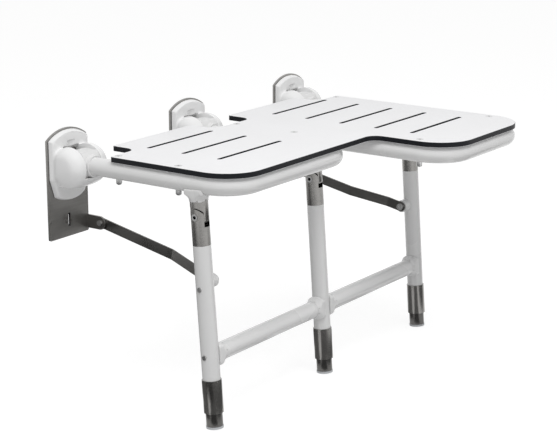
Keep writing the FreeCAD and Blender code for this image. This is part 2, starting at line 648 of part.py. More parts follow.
screws, nuts = [], []
top = "@tube_radius+@panel_thick"
for i, (x, y) in enumerate(SCREWS):
    head = doc.addObject("Part::Cone", "ScrewHead%d" % i)
    bind(head, Radius1="@head_radius-@head_thick", Radius2="@head_radius", Height="@head_thick")
    place(head, x, y, top + "-@head_thick")
    shank = rod("ScrewShank%d" % i, "@screw_radius", top + "-@head_thick+@tube_radius+0.8*@nut_thick",
                (x, y, "-@tube_radius-0.8*@nut_thick"))
    key = doc.addObject("Part::Prism", "ScrewKey%d" % i)
    bind(key, Circumradius="@hex_radius-0.4", Height="@head_thick")
    place(key, x, y, top + "-@head_thick*0.8")
    screws.append(cut("Screw%d" % i, fuse("ScrewSolid%d" % i, head, shank), key))
    # Nut: flange, body and domed end, seated over the tube's underside.
    body_rod = rod("NutRod%d" % i, "@nut_radius", "@nut_thick+@nut_radius*0.5",
                   (x, y, "-@tube_radius-@nut_thick"))
    dome = doc.addObject("Part::Ellipsoid", "NutDome%d" % i)
    bind(dome, Radius1="@nut_radius*0.75", Radius2="@nut_radius", Radius3="@nut_radius")
    place(dome, x, y, "-@tube_radius-@nut_thick")
    nuts.append(cut("Nut%d" % i, fuse("NutSolid%d" % i, body_rod, dome),
                    rod("NutRoom%d" % i, "@screw_radius", "@nut_thick*2", (x, y, "-@tube_radius-0.8*@nut_thick")),
                    rod("NutSeat%d" % i, "@tube_radius", "4*@nut_radius", (x, y + "+2*@nut_radius", "0"), "Y")))
keep(group("Screws", *screws), "panel_screws")
keep(group("Nuts", *nuts), "panel_cap_nuts")
doc.recompute()

# Legs. Everything here is drawn about the leg pivot with the leg straight
# down, then set at its tilt.


def on_leg(obj, side):
    if obj.TypeId == "Part::Cylinder":
        obj = group(obj.Name + "_set", obj)
    return place(obj, x=mount_x(side), **leg_place)


def flared(name, role, points, axis):
    """Turned body from a closed profile; role picks the sketch plane."""
    body = new_body(name)
    sk = sketch_on(body, name + "_profile", role)
    loop(sk, points)
    turn = body.newObject("PartDesign::Revolution", name + "_turn")
    turn.Profile = sk
    turn.ReferenceAxis = (sk, [axis])
    turn.Angle = 360
    return body


lip = "(@leg_radius+@collar_lip)"
for side_name, side in SIDES:
    run = rod("CollarRun_" + side_name, "@tube_radius", "@front_run",
              (mount_x(side), rear, "0"), "Y")
    # Thin wedge of room beside the run, where the tube starts to bend.
    slim = rod("CollarEase_" + side_name, "@tube_radius", "@front_run",
               (mount_x(side) + ("+@collar_ease" if side < 0 else "-@collar_ease"), rear, "0"), "Y")
    # Saddle collar: flares along the frame tube, flat cheeks across it.
    flare = flared("Collar_" + side_name, "XZ_Plane", [
        ("0", "@collar_foot"), (lip, "@collar_foot"), (lip, "@collar_foot+1.5", "@collar_flare", 1),
        ("@collar_long", "@collar_mid"), ("@collar_long", "@collar_top"), ("0", "@collar_top")], "V_Axis")
    cheeks = box("CollarCheeks_" + side_name, ("2*@collar_cheek", "4*@collar_long", "60"),
                 ("-@collar_cheek", "-2*@collar_long", "@collar_foot-1"))
    body = on_leg(common("CollarForm_" + side_name, flare, cheeks), side)
    stub_room = on_leg(rod("CollarBore_" + side_name, "@leg_radius", "@stub_top-@collar_foot+1",
                           ("0", "0", "@collar_foot-1")), side)
    body = cut("CollarSaddle_" + side_name, body, run)
    if side < 1:
        body = cut("CollarBend_" + side_name, body, slim)
    keep(cut("CollarCut_" + side_name, body, stub_room), "leg_collar_" + side_name)

    # Fork tongue under the collar.
    low, shoulder, wide = "@tongue_tip", "(@tongue_end+@shoulder_gap+2)", "(@tongue_thick/2)"
    bar = rod("TongueBar_" + side_name, "@leg_radius", "@stub_top+" + low, ("0", "0", "-" + low))
    above = box("TongueAbove_" + side_name, ("4*@leg_radius", "4*@leg_radius", "2*@stub_top"),
                ("-2*@leg_radius", "-2*@leg_radius", "0"))
    tip = rod("TongueTip_" + side_name, low, "4*@leg_radius", ("-2*@leg_radius", "0", "0"), "X")
    tongue = common("TongueForm_" + side_name, bar, fuse("TongueEnds_" + side_name, above, tip))
    # Room for the ears beside the blade: open behind, a round shoulder in front.
    tools = [rod("BladeEye_" + side_name, "@pivot_bolt+@link_pin_play", "4*@leg_radius",
                 ("-2*@leg_radius", "0", "0"), "X")]
    for s, x0 in ((-1, "-2*@leg_radius-" + wide), (1, wide)):
        tag = "%s%d" % (side_name, s + 1)
        tools += [box("EarRoomLow_" + tag, ("2*@leg_radius", "4*@leg_radius", low + "+1"),
                      (x0, "-2*@leg_radius", "-%s-1" % low)),
                  box("EarRoomRear_" + tag, ("2*@leg_radius", "2*@leg_radius", shoulder + "+1"),
                      (x0, "0", "-1")),
                  rod("EarRoomFront_" + tag, shoulder, "2*@leg_radius", (x0, "0", "0"), "X")]
    keep(on_leg(cut("Tongue_" + side_name, tongue, *tools), side), "leg_tongue_" + side_name)

    # Clevis: ears round the tongue, spigot down into the leg tube.
    shaft = rod("ClevisRod_" + side_name, "@leg_radius", "@clevis_length+@tongue_end+@shoulder_gap",
                ("0", "0", "-@clevis_length"))
    spigot = rod("ClevisSpigot_" + side_name, "@leg_radius-@leg_wall", "@sleeve_overlap",
                 ("0", "0", "-@clevis_length-@sleeve_overlap"))
    swing = rod("ClevisSwing_" + side_name, "@tongue_end+@shoulder_gap", "4*@leg_radius",
                ("-2*@leg_radius", "0", "0"), "X")
    below = box("ClevisBelow_" + side_name, ("4*@leg_radius", "4*@leg_radius", "@clevis_length"),
                ("-2*@leg_radius", "-2*@leg_radius", "-@clevis_length"))
    ends = fuse("ClevisEnds_" + side_name, swing, below)
    mouth = box("ClevisMouth_" + side_name,
                ("@tongue_thick+2*@tongue_gap", "4*@leg_radius", "@clevis_slot+2*@leg_radius"),
                ("-@tongue_thick/2-@tongue_gap", "-2*@leg_radius", "-@clevis_slot"))
    tools = [mouth, rod("ClevisEye_" + side_name, "@pivot_bolt", "4*@leg_radius", ("-2*@leg_radius", "0", "0"), "X")]
    for s in (-1, 1):
        x0 = "@pivot_seat" if s > 0 else "-@pivot_seat-@leg_radius"
        tools.append(rod("ClevisSeat_%s%d" % (side_name, s + 1), "@pivot_head+0.4", "@leg_radius", (x0, "0", "0"), "X"))
    rounded = common("ClevisRound_" + side_name, shaft, ends)
    keep(on_leg(cut("Clevis_" + side_name, fuse("ClevisSolid_" + side_name, rounded, spigot), *tools), side),
         "leg_clevis_" + side_name)

    # Leg tube, sleeve and foot.
    tube = rod("LegRod_" + side_name, "@leg_radius", "@leg_length+@sleeve_overlap-@clevis_length",
               ("0", "0", "-@leg_length-@sleeve_overlap"))
    tools = [rod("LegBore_" + side_name, "@leg_radius-@leg_wall", "@leg_length+4*@sleeve_overlap",
                 ("0", "0", "-@leg_length-2*@sleeve_overlap"))]
    if side:
        for tag, drop, across in (("boss", "(@link_drop/cos(@leg_tilt)-@side_screw_rise)", "0"),
                                  ("bar", "@bar_drop", "0")):
            x0 = "@side_screw_seat" if side > 0 else "-@side_screw_seat-10"
            tools.append(rod("LegSpot_%s_%s" % (tag, side_name), "@side_screw+0.3", "10", (x0, across, "-" + drop), "X"))
            tools.append(rod("LegPilot_%s_%s" % (tag, side_name), "@screw_radius", "20",
                             ("0" if side > 0 else "-20", across, "-" + drop), "X"))
    keep(on_leg(cut("LegTube_" + side_name, tube, *tools), side), "leg_tube_" + side_name)

    shell = rod("SleeveRod_" + side_name, "@sleeve_radius", "@sleeve_length", ("0", "0", "-@leg_length-@sleeve_length"))
    upper = rod("SleeveUpper_" + side_name, "@leg_radius", "@sleeve_overlap+1", ("0", "0", "-@leg_length-@sleeve_overlap"))
    lower = rod("SleeveLower_" + side_name, "@foot_radius+@foot_play", "@sleeve_length",
                ("0", "0", "-@leg_length-@sleeve_length-1"))
    keep(on_leg(cut("Sleeve_" + side_name, shell, upper, lower), side), "leg_sleeve_" + side_name)

    foot_top = "(@leg_length+@sleeve_length-@foot_hold)"
    keep(on_leg(cut("FootTube_" + side_name,
                    rod("FootRod_" + side_name, "@foot_radius", "@foot_end-" + foot_top, ("0", "0", "-@foot_end")),
                    rod("FootBore_" + side_name, "@foot_radius-@foot_wall", "@foot_end", ("0", "0", "-@foot_end-1"))),
                 side), "foot_tube_" + side_name)
    pad_rod = rod("CapRod_" + side_name, "@cap_radius", "@cap_thick", ("0", "0", "-@foot_end-@cap_thick"))
    plug = rod("CapPlug_" + side_name, "@foot_radius-@foot_wall", "@cap_plug", ("0", "0", "-@foot_end"))
    keep(on_leg(fuse("Cap_" + side_name, pad_rod, plug), side), "foot_cap_" + side_name)

# Pivot bolts with a socket head and a nut in the ear seats.
bolts = []
for side_name, side in SIDES:
    shank = rod("PivotShank_" + side_name, "@pivot_bolt", "2*@pivot_seat", ("-@pivot_seat", "0", "0"), "X")
    heads = [rod("PivotHead_%s%d" % (side_name, s + 1), "@pivot_head", "@pivot_head_thick",
                 ("@pivot_seat" if s > 0 else "-@pivot_seat-@pivot_head_thick", "0", "0"), "X") for s in (-1, 1)]
    key = doc.addObject("Part::Prism", "PivotKey_" + side_name)
    bind(key, Circumradius="@hex_radius", Height="@hex_depth")
    place(key, "-@pivot_seat-@pivot_head_thick", "0", "0", (0, 1, 0), "90")
    bolts.append(on_leg(cut("PivotBolt_" + side_name, fuse("PivotSolid_" + side_name, shank, *heads), key), side))
keep(group("PivotBolts", *bolts), "leg_pivot_bolts")

# Cross bars with a flared collar at each end.
span = "@mount_pitch-2*@bar_inset"
for name, side in (("left", -1), ("right", 0)):
    bar = rod("CrossRod_" + name, "@leg_radius", span, ("@bar_inset", "0", "-@bar_drop"), "X")
    bore = rod("CrossBore_" + name, "@leg_radius-@leg_wall", span + "+2", ("@bar_inset-1", "0", "-@bar_drop"), "X")
    keep(on_leg(cut("CrossBar_" + name, bar, bore), side), "cross_bar_" + name)
for tag, side, way in (("left", -1, 1), ("middle_left", 0, -1), ("middle_right", 0, 1), ("right", 1, -1)):
    # Drawn with the bar to +X, turned about the leg for the other hand.
    flare = flared("BarCollar_" + tag, "XY_Plane", [
        ("@bar_collar_root", "0"), ("@bar_collar", "0"), ("@bar_collar", lip),
        ("@bar_collar-1.5", lip, "@collar_flare*1.2", 1), ("@bar_collar_mid", "@bar_collar_long"),
        ("@bar_collar_root", "@bar_collar_long")], "H_Axis")
    cheeks = box("BarCheeks_" + tag, ("60", "2*@collar_cheek", "4*@collar_long"),
                 ("0", "-@collar_cheek", "-2*@collar_long"))
    room = rod("BarRoom_" + tag, "@leg_radius", "60", ("@bar_inset", "0", "0"), "X")
    leg = rod("BarLeg_" + tag, "@leg_radius", "120", ("0", "0", "-60"))
    collar = cut("BarCollarCut_" + tag, common("BarCollarForm_" + tag, flare, cheeks), room, leg)
    if way < 0:
        place(collar, axis=(0, 0, 1), angle="180")
    place(collar, z="-@bar_drop")
    keep(on_leg(group("BarCollarSet_" + tag, collar), side), "cross_collar_" + tag)

# Link bosses on the outer legs, on the side facing the middle.
link_place = dict(y="-@axis_reach-@link_y_offset", z="-@link_drop", axis=(1, 0, 0),
                  angle="atan(@leg_pivot_drop/(@leg_pivot_reach-@axis_reach))")
pivot_y = "-@leg_pivot_reach-@link_y_offset"
pivot_z = "-@leg_pivot_drop-@link_drop"
for name, side in (("left", -1), ("right", 1)):
    inner = -side
    x0 = "%s%s" % (mount_x(side), "" if inner > 0 else "-@boss_end")
    boss = rod("BossRod_" + name, "@boss_radius", "@boss_end", (x0, pivot_y, pivot_z), "X")
    leg = on_leg(rod("BossLeg_" + name, "@leg_radius", "@leg_length", ("0", "0", "-@leg_length")), side)
    hole = rod("BossHole_" + name, "@link_bolt", "@boss_end+2", (x0 + "-1", pivot_y, pivot_z), "X")
    keep(cut("Boss_" + name, boss, leg, hole), "link_boss_" + name)

# Links: one strap each side, with a joggle between two bends.
tab = "(@plate_width/2)"
out_near, out_far = "(%s+@link_play+@link_thick)" % tab, "(%s+@link_play)" % tab
in_near, in_far = "(@boss_end+@link_play+@link_thick)", "(@boss_end+@link_play)"
reach = "sqrt((@leg_pivot_reach-@axis_reach)^2+@leg_pivot_drop^2)"
end = "(@link_width/2)"
for name, side in (("left", -1), ("right", 1)):
    body = new_body("Link_" + name)
    sk = sketch_on(body, "LinkStrip_" + name, "XY_Plane")
    sign = "-" if side > 0 else ""
    strip = [(sign + out_near, end), (sign + out_near, "-@link_bend"),
             (sign + in_near, "-@link_bend-@link_joggle"), (sign + in_near, "-%s-%s" % (reach, end)),
             (sign + in_far, "-%s-%s" % (reach, end)), (sign + in_far, "-@link_bend-@link_joggle"),
             (sign + out_far, "-@link_bend"), (sign + out_far, end)]
    loop(sk, strip)
    base = pad(body, sk, "@link_width", both=True)
    bends = [(num(x), num(y)) for x, y in strip]
    for radius, picks in (("2*@link_thick", (1, 5)), ("@link_thick", (2, 6))):
        base = fillet_at(body, base, radius, lambda e: upright(e, [bends[k] for k in picks]))
    holes = sketch_on(body, "LinkHoles_" + name, "YZ_Plane")
    circle(holes, "0", "0", "@link_bolt+@link_pin_play")
    circle(holes, "-" + reach, "0", "@link_bolt+@link_play")
    pocket(body, holes)
    # Round the strap's ends: trim outside a long slot outline.
    trim = sketch_on(body, "LinkEnds_" + name, "YZ_Plane")
    loop(trim, [("-" + reach, "-" + end, end, 1), ("-" + reach, end), ("-%s-%s*1.5" % (reach, end), end),
                ("-%s-%s*1.5" % (reach, end), "-" + end)])
    loop(trim, [("0", end, end, 1), ("0", "-" + end), ("%s*1.5" % end, "-" + end), ("%s*1.5" % end, end)])
    pocket(body, trim)
    place(body, x=mount_x(side), **link_place)
    keep(body, "link_" + name)

# Bolts at both ends of the links.
wall_bolts, leg_bolts = [], []
for name, side in (("left", -1), ("right", 1)):
    y0, z0 = "-@axis_reach-@link_y_offset", "-@link_drop"
    inner = -side
    lo = "(%s-@plate_thick-@tab_head_thick)" % tab
    hi = "(%s+2*@link_play+@link_thick+@link_nut_thick)" % tab

    def along(a, b):
        """X start and length of a span from a to b out from the mount."""
        first = a if inner > 0 else "-" + b
        return "%s+%s" % (mount_x(side), first), "(%s)-(%s)" % (b, a)

    spans = [("@link_bolt", lo, hi), ("@tab_head", lo, "(%s+@tab_head_thick)" % lo),
             ("@link_head", "(%s-@link_nut_thick)" % hi, hi)]
    solids = []
    for k, (radius, a, b) in enumerate(spans):
        x0, length = along(a, b)
        solids.append(rod("WallBolt_%s%d" % (name, k), radius, length, (x0, y0, z0), "X"))
    wall_bolts.append(fuse("WallBolt_" + name, *solids))
    hi = "(@boss_end+2*@link_play+@link_thick+@link_head_thick)"
    lo = "(@leg_radius+@collar_lip)"
    solids = []
    for k, (radius, a, b) in enumerate([("@link_bolt", lo, hi), ("@link_head", "(%s-@link_head_thick)" % hi, hi)]):
        x0, length = along(a, b)
        solids.append(rod("LegBolt_%s%d" % (name, k), radius, length, (x0, pivot_y, pivot_z), "X"))
    key = doc.addObject("Part::Prism", "LegBoltKey_" + name)
    bind(key, Circumradius="@hex_radius", Height="@hex_depth")
    x0, length = along("(%s-@hex_depth)" % hi, hi)
    place(key, x0, pivot_y, pivot_z, (0, 1, 0), "90")
    leg_bolts.append(cut("LegBolt_" + name, fuse("LegBoltSolid_" + name, *solids), key))
keep(group("WallBolts", *wall_bolts), "link_wall_bolts")
keep(group("LegBolts", *leg_bolts), "link_leg_bolts")

side_screws = []
for side_name, side in (("left", -1), ("right", 1)):
    for tag, drop in (("boss", "(@link_drop/cos(@leg_tilt)-@side_screw_rise)"), ("bar", "@bar_drop")):
        s = side
        head = rod("SideHead_%s_%s" % (tag, side_name), "@side_screw", "@side_screw_thick",
                   ("@side_screw_seat" if s > 0 else "-@side_screw_seat-@side_screw_thick", "0", "-" + drop), "X")
        shank = rod("SideShank_%s_%s" % (tag, side_name), "@screw_radius", "4",
                    ("@side_screw_seat-4" if s > 0 else "-@side_screw_seat", "0", "-" + drop), "X")
        side_screws.append(on_leg(fuse("SideScrew_%s_%s" % (tag, side_name), head, shank), side))
keep(group("SideScrews", *side_screws), "leg_side_screws")

doc.recompute()
for obj in doc.Objects:
    if "Invalid" in obj.State or "Error" in obj.State:
        raise RuntimeError("cannot build " + obj.Name)
for obj in parts:
    if obj.Shape.isNull() or not obj.Shape.isValid():
        raise RuntimeError("bad shape " + obj.Label)
os.makedirs("parts", exist_ok=True)
for obj in parts:
    obj.Shape.exportStep("parts/%s.step" % obj.Label)
    b = obj.Shape.BoundBox
    print(obj.Label, round(obj.Shape.Volume), len(obj.Shape.Solids),
          [round(q, 2) for q in (b.XMin, b.XMax, b.YMin, b.YMax, b.ZMin, b.ZMax)])
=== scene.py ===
"""Fold down wall seat: finishes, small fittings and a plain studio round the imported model."""

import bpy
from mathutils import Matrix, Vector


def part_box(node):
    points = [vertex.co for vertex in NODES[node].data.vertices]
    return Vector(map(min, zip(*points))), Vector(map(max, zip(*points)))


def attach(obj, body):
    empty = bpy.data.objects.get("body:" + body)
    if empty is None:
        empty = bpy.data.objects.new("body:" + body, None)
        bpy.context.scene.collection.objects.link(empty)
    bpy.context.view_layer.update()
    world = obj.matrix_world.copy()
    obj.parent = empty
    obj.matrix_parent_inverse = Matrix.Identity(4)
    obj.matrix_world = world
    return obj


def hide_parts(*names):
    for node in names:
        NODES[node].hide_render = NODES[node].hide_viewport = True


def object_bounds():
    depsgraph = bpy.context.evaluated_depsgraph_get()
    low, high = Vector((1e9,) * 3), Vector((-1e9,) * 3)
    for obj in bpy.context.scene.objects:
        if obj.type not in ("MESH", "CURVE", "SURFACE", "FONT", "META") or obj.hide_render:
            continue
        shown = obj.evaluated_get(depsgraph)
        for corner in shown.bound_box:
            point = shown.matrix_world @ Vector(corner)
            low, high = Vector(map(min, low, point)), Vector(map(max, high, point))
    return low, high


bl_info = {
    "name": "Fold Down Wall Seat",
    "version": (1, 0, 0),
    "blender": (4, 5, 0),
    "location": "3D View > Sidebar > Wall Seat",
    "description": "Finishes and small fittings of a slotted wall seat on folding legs",
    "category": "Object",
}

import math

import bmesh
import bpy
from bpy.props import FloatProperty, FloatVectorProperty, PointerProperty
from mathutils import Matrix, Vector

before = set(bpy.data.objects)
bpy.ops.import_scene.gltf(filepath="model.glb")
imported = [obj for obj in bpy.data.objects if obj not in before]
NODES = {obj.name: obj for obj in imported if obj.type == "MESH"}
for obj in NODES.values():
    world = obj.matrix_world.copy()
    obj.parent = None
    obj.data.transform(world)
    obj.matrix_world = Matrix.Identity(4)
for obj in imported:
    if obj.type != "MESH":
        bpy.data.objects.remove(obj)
SIDES = ("left", "middle", "right")
CAD_BOX = [list(corner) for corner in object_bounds()]
PANEL_LOW, PANEL_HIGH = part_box("seat_panel")

# Lengths are in metres
WELD = 0.000004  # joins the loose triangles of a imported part
MOUNT_PITCH = 0.36  # from the middle mount to an outer one

# Hinge covers, where a pair says where a fade starts and where it ends
FOLD_AXIS_Y = -0.032
DOME_DEPTH = 0.058  # from the dome's front back to the flat face
FOOT_FADE = (-0.003, 0.001)  # ahead of the flat face, round the dome's foot
HEAD_Z = 0.048  # over this height the flat face stays crisp
HEAD_FADE = (0.002, 0.006)  # ahead of the flat face, over that height
SLOT_FADE = (0.025, 0.031)  # from the cover's middle, past the slot
END_FADE = (0.040, 0.047)  # from the cover's middle, towards the dome's end
END_CLEAR = 0.004  # the bulge keeps this far ahead of the flat face
END_RADIUS = 0.036  # about the fold axis, where the bulge runs out
END_BULGE = 0.0032
COVER_ROUNDS, COLLAR_ROUNDS, POLISH_ROUNDS = 70, 8, 3

# Wall tab of the links
TAB_THICK = 0.004
TAB_EDGE = 0.0003
TAB_STEPS = 64

SKIN_BLUR = 0.0001  # half the width of the line between the panel's face and its core
# Near black of the slot's cut walls: partly a burnt cut edge, partly painted shade in the slot
CUT_EDGE_AND_SHADE_COLOUR = (0.012, 0.012, 0.012, 1.0)
# Painted shade in the hex socket of the pivot bolts
SOCKET_SHADE_COLOUR = (0.01, 0.011, 0.014, 1.0)

# Camera of the photograph
EYE = (-2.56734, -2.04627, 0.67342)
ACROSS, ABOVE = math.radians(54.75), math.radians(14.88)
SENSOR = 36.0

# Studio
FLOOR_SIZE = 14
FLOOR_MIDDLE = (0, -0.3)
KEY_PLACE, KEY_TARGET, KEY_SIZE = (-0.9, -1.3, 2.7), (0, -0.3, -0.1), (2.6, 2.0)
FEET_FLAGS = Vector((-0.817, -0.577, 0))  # the way the cards at the feet run
FEET_LIFT = 0.003

# Cards: name, start, lift off the floor, direction, near width, far width, length, level
CARDS = (
    ("strap_flag", (0.15, 0.45), 0.004, (-1, 0, 0), 1.1, 1.1, 1.9, 0.03),
    ("bend_flag", (-0.55, -0.28), 0.006, (-0.98, -0.2, 0), 0.5, 0.9, 1.1, 0.01),
    ("plate_flag", (0.25, -0.75), 0.005, (0.789, -0.558, 0), 0.7, 1.0, 1.0, 0.10),
)


def colour(name, value, text):
    return FloatVectorProperty(
        name=name, description=text, default=value, size=3, min=0.0, max=1.0, subtype="COLOR"
    )


class WallSeatColours(bpy.types.PropertyGroup):
    """Colours of the finishes"""

    panel_face: colour("Panel face", (0.86, 0.86, 0.87), "White laminate of the panel's faces")
    panel_core: colour("Panel core", (0.010, 0.011, 0.014), "Dark core seen at edges and slots")
    paint: colour("Tube paint", (0.77, 0.77, 0.768), "Powder coat of tubes and castings")
    moulding: colour("Hinge cover", (0.86, 0.86, 0.86), "Moulded hinge covers")
    steel: colour("Stainless steel", (0.31, 0.303, 0.292), "Brushed plates, fittings and links")
    fixing: colour("Fixings", (0.66, 0.66, 0.66), "Screws, bolts and nuts")
    foot: colour("Foot cap", (0.55, 0.56, 0.58), "Moulded caps under the feet")


class WallSeatSizes(bpy.types.PropertyGroup):
    """Sizes of the fine detail"""

    skin: FloatProperty(
        name="Laminate skin", description="Thickness of the white face over the dark core",
        default=0.0003, min=0.0001, max=0.004, unit="LENGTH", subtype="DISTANCE", precision=5,
    )
    grain: FloatProperty(
        name="Moulding step", description="Spacing of the remeshed surface of covers and collars",
        default=0.0012, min=0.0006, max=0.004, unit="LENGTH", subtype="DISTANCE", precision=5,
    )
    ear: FloatProperty(
        name="Tab ear", description="Radius of the wall tab's round end", default=0.013,
        min=0.008, max=0.03, unit="LENGTH", subtype="DISTANCE", precision=5,
    )
    ear_hole: FloatProperty(
        name="Tab ear hole", description="Radius of the bolt's hole in the ear", default=0.0043,
        min=0.001, max=0.007, unit="LENGTH", subtype="DISTANCE", precision=5,
    )
    # Sets the size of the painted shade in the pivot bolts' hex socket
    socket: FloatProperty(
        name="Pivot socket", description="Radius of the dark hex socket in the leg pivot bolts",
        default=0.0032, min=0.001, max=0.006, unit="LENGTH", subtype="DISTANCE", precision=5,
    )
    # The slot's cut walls are painted near black, partly burnt cut edge and partly painted shade
    cut_width: FloatProperty(
        name="Cut slot width", description="Width of the upright slot with the darkened cut edge",
        default=0.0056, min=0.001, max=0.02, unit="LENGTH", subtype="DISTANCE", precision=5,
    )
    cut_low: FloatProperty(
        name="Cut slot foot", description="Height of the slot's lower end", default=-0.1243,
        min=-0.3, max=0.3, unit="LENGTH", subtype="DISTANCE", precision=5,
    )
    cut_high: FloatProperty(
        name="Cut slot head", description="Height of the slot's upper end", default=-0.0987,
        min=-0.3, max=0.3, unit="LENGTH", subtype="DISTANCE", precision=5,
    )
    crease: FloatProperty(
        name="Crease angle", description="Edges sharper than this stay crisp",
        default=math.radians(28), min=0.0, max=math.pi, unit="ROTATION", subtype="ANGLE",
    )


class WallSeatStudio(bpy.types.PropertyGroup):
    """Light and camera"""

    sky: FloatProperty(
        name="Sky level", description="Plain light from all round", default=0.42, min=0.0, max=2.0
    )
    key: FloatProperty(
        name="Key lamp", description="Power of the large soft lamp", default=66.0,
        min=0.0, unit="POWER",
    )
    lens: FloatProperty(
        name="Lens", description="Focal length of the camera", default=105.79,
        min=10.0, max=400.0, unit="CAMERA",
    )


def settings():
    """The three groups of settings."""
    scene = bpy.context.scene
    return scene.wall_seat_colours, scene.wall_seat_sizes, scene.wall_seat_studio


# Node building

def add(tree, kind, place, **values):
    """A new node with its own settings."""
    node = tree.nodes.new(kind)
    node.location = place
    for key, value in values.items():
        setattr(node, key, value)
    return node


def wire(tree, *pairs):
    """Links each pair of sockets."""
    for start, end in pairs:
        tree.links.new(start, end)


def new_group(name, inputs, outputs):
    """An empty shader group with its sockets, start and end."""
    group = bpy.data.node_groups.new(name, "ShaderNodeTree")
    for label, kind, default in inputs:
        socket = group.interface.new_socket(name=label, in_out="INPUT", socket_type=kind)
        if default is not None:
            socket.default_value = default
    for label, kind in outputs:
        group.interface.new_socket(name=label, in_out="OUTPUT", socket_type=kind)
    start = add(group, "NodeGroupInput", (-900, 0))
    end = add(group, "NodeGroupOutput", (700, 0))
    return group, start, end


def coat_texture():
    """Orange peel and faint clouding of a sprayed or moulded surface."""
    name = "Coat Texture"
    if name in bpy.data.node_groups:
        return bpy.data.node_groups[name]
    group, start, end = new_group(
        name,
        [("Vector", "NodeSocketVector", None), ("Peel Scale", "NodeSocketFloat", 900.0),
         ("Cloud Scale", "NodeSocketFloat", 9.0)],
        [("Peel", "NodeSocketFloat"), ("Cloud", "NodeSocketFloat")],
    )
    peel = add(group, "ShaderNodeTexNoise", (-500, 200))
    peel.inputs["Detail"].default_value = 2.0
    cloud = add(group, "ShaderNodeTexNoise", (-500, -100))
    cloud.inputs["Detail"].default_value = 3.0
    spread = add(group, "ShaderNodeMapRange", (0, -100))
    spread.inputs["From Min"].default_value = 0.35
    spread.inputs["From Max"].default_value = 0.65
    wire(
        group,
        (start.outputs["Vector"], peel.inputs["Vector"]),
        (start.outputs["Vector"], cloud.inputs["Vector"]),
        (start.outputs["Peel Scale"], peel.inputs["Scale"]),
        (start.outputs["Cloud Scale"], cloud.inputs["Scale"]),
        (cloud.outputs["Fac"], spread.inputs["Value"]),
        (peel.outputs["Fac"], end.inputs["Peel"]),
        (spread.outputs["Result"], end.inputs["Cloud"]),
    )
    return group


def brushed_grain():
    """Fine parallel scratches, wider streaks and smudges of brushed metal."""
    name = "Brushed Grain"
    if name in bpy.data.node_groups:
        return bpy.data.node_groups[name]
    group, start, end = new_group(
        name,
        [("Vector", "NodeSocketVector", None), ("Scratch Scale", "NodeSocketFloat", 40.0),
         ("Smudge Scale", "NodeSocketFloat", 22.0)],
        [("Scratch", "NodeSocketFloat"), ("Streak", "NodeSocketFloat"),
         ("Smudge", "NodeSocketFloat")],
    )
    squeeze = add(group, "ShaderNodeVectorMath", (-700, 200), operation="MULTIPLY")
    squeeze.inputs[1].default_value = (1.0, 60.0, 60.0)
    scratch = add(group, "ShaderNodeTexNoise", (-400, 300))
    scratch.inputs["Detail"].default_value = 3.0
    wide = add(group, "ShaderNodeVectorMath", (-700, 0), operation="MULTIPLY")
    wide.inputs[1].default_value = (0.6, 9.0, 9.0)
    streak = add(group, "ShaderNodeTexNoise", (-400, 0))
    streak.inputs["Detail"].default_value = 2.0
    smudge = add(group, "ShaderNodeTexNoise", (-400, -300))
    smudge.inputs["Detail"].default_value = 4.0
    spread = add(group, "ShaderNodeMapRange", (0, -300))
    spread.inputs["From Min"].default_value = 0.3
    spread.inputs["From Max"].default_value = 0.7
    wire(
        group,
        (start.outputs["Vector"], squeeze.inputs[0]),
        (start.outputs["Vector"], wide.inputs[0]),
        (start.outputs["Vector"], smudge.inputs["Vector"]),
        (squeeze.outputs["Vector"], scratch.inputs["Vector"]),
        (wide.outputs["Vector"], streak.inputs["Vector"]),
        (start.outputs["Scratch Scale"], scratch.inputs["Scale"]),
        (start.outputs["Scratch Scale"], streak.inputs["Scale"]),
        (start.outputs["Smudge Scale"], smudge.inputs["Scale"]),
        (smudge.outputs["Fac"], spread.inputs["Value"]),
        (scratch.outputs["Fac"], end.inputs["Scratch"]),
        (streak.outputs["Fac"], end.inputs["Streak"]),
        (spread.outputs["Result"], end.inputs["Smudge"]),
    )
    return group


def new_material(name):
    """An empty material with its surface shader and object coordinates."""
    mat = bpy.data.materials.new(name)
    mat.use_nodes = True
    tree = mat.node_tree
    tree.nodes.clear()
    out = add(tree, "ShaderNodeOutputMaterial", (900, 0))
    shader = add(tree, "ShaderNodeBsdfPrincipled", (500, 0))
    coords = add(tree, "ShaderNodeTexCoord", (-1200, 0))
    wire(tree, (shader.outputs["BSDF"], out.inputs["Surface"]))
    return mat, tree, shader, coords


def tint(tree, factor, low, high, target):
    """Colour between two shades, driven by a mask."""
    mix = add(tree, "ShaderNodeMix", (100, 250), data_type="RGBA")
    mix.inputs["A"].default_value = (*low, 1.0)
    mix.inputs["B"].default_value = (*high, 1.0)
    wire(tree, (factor, mix.inputs["Factor"]), (mix.outputs["Result"], target))


def spread_to(tree, value, low, high, target):
    """Value from 0 to 1 turned into a range for a shader input."""
    node = add(tree, "ShaderNodeMapRange", (100, -50))
    node.inputs["To Min"].default_value = low
    node.inputs["To Max"].default_value = high
    wire(tree, (value, node.inputs["Value"]), (node.outputs["Result"], target))


def relief(tree, height, depth, shader):
    """Fine relief of a finish."""
    node = add(tree, "ShaderNodeBump", (250, -350))
    node.inputs["Strength"].default_value = 1.0
    node.inputs["Distance"].default_value = depth
    wire(tree, (height, node.inputs["Height"]), (node.outputs["Normal"], shader.inputs["Normal"]))


def shade(base, factor):
    """A colour made lighter or darker."""
    return tuple(min(1.0, c * factor) for c in base)


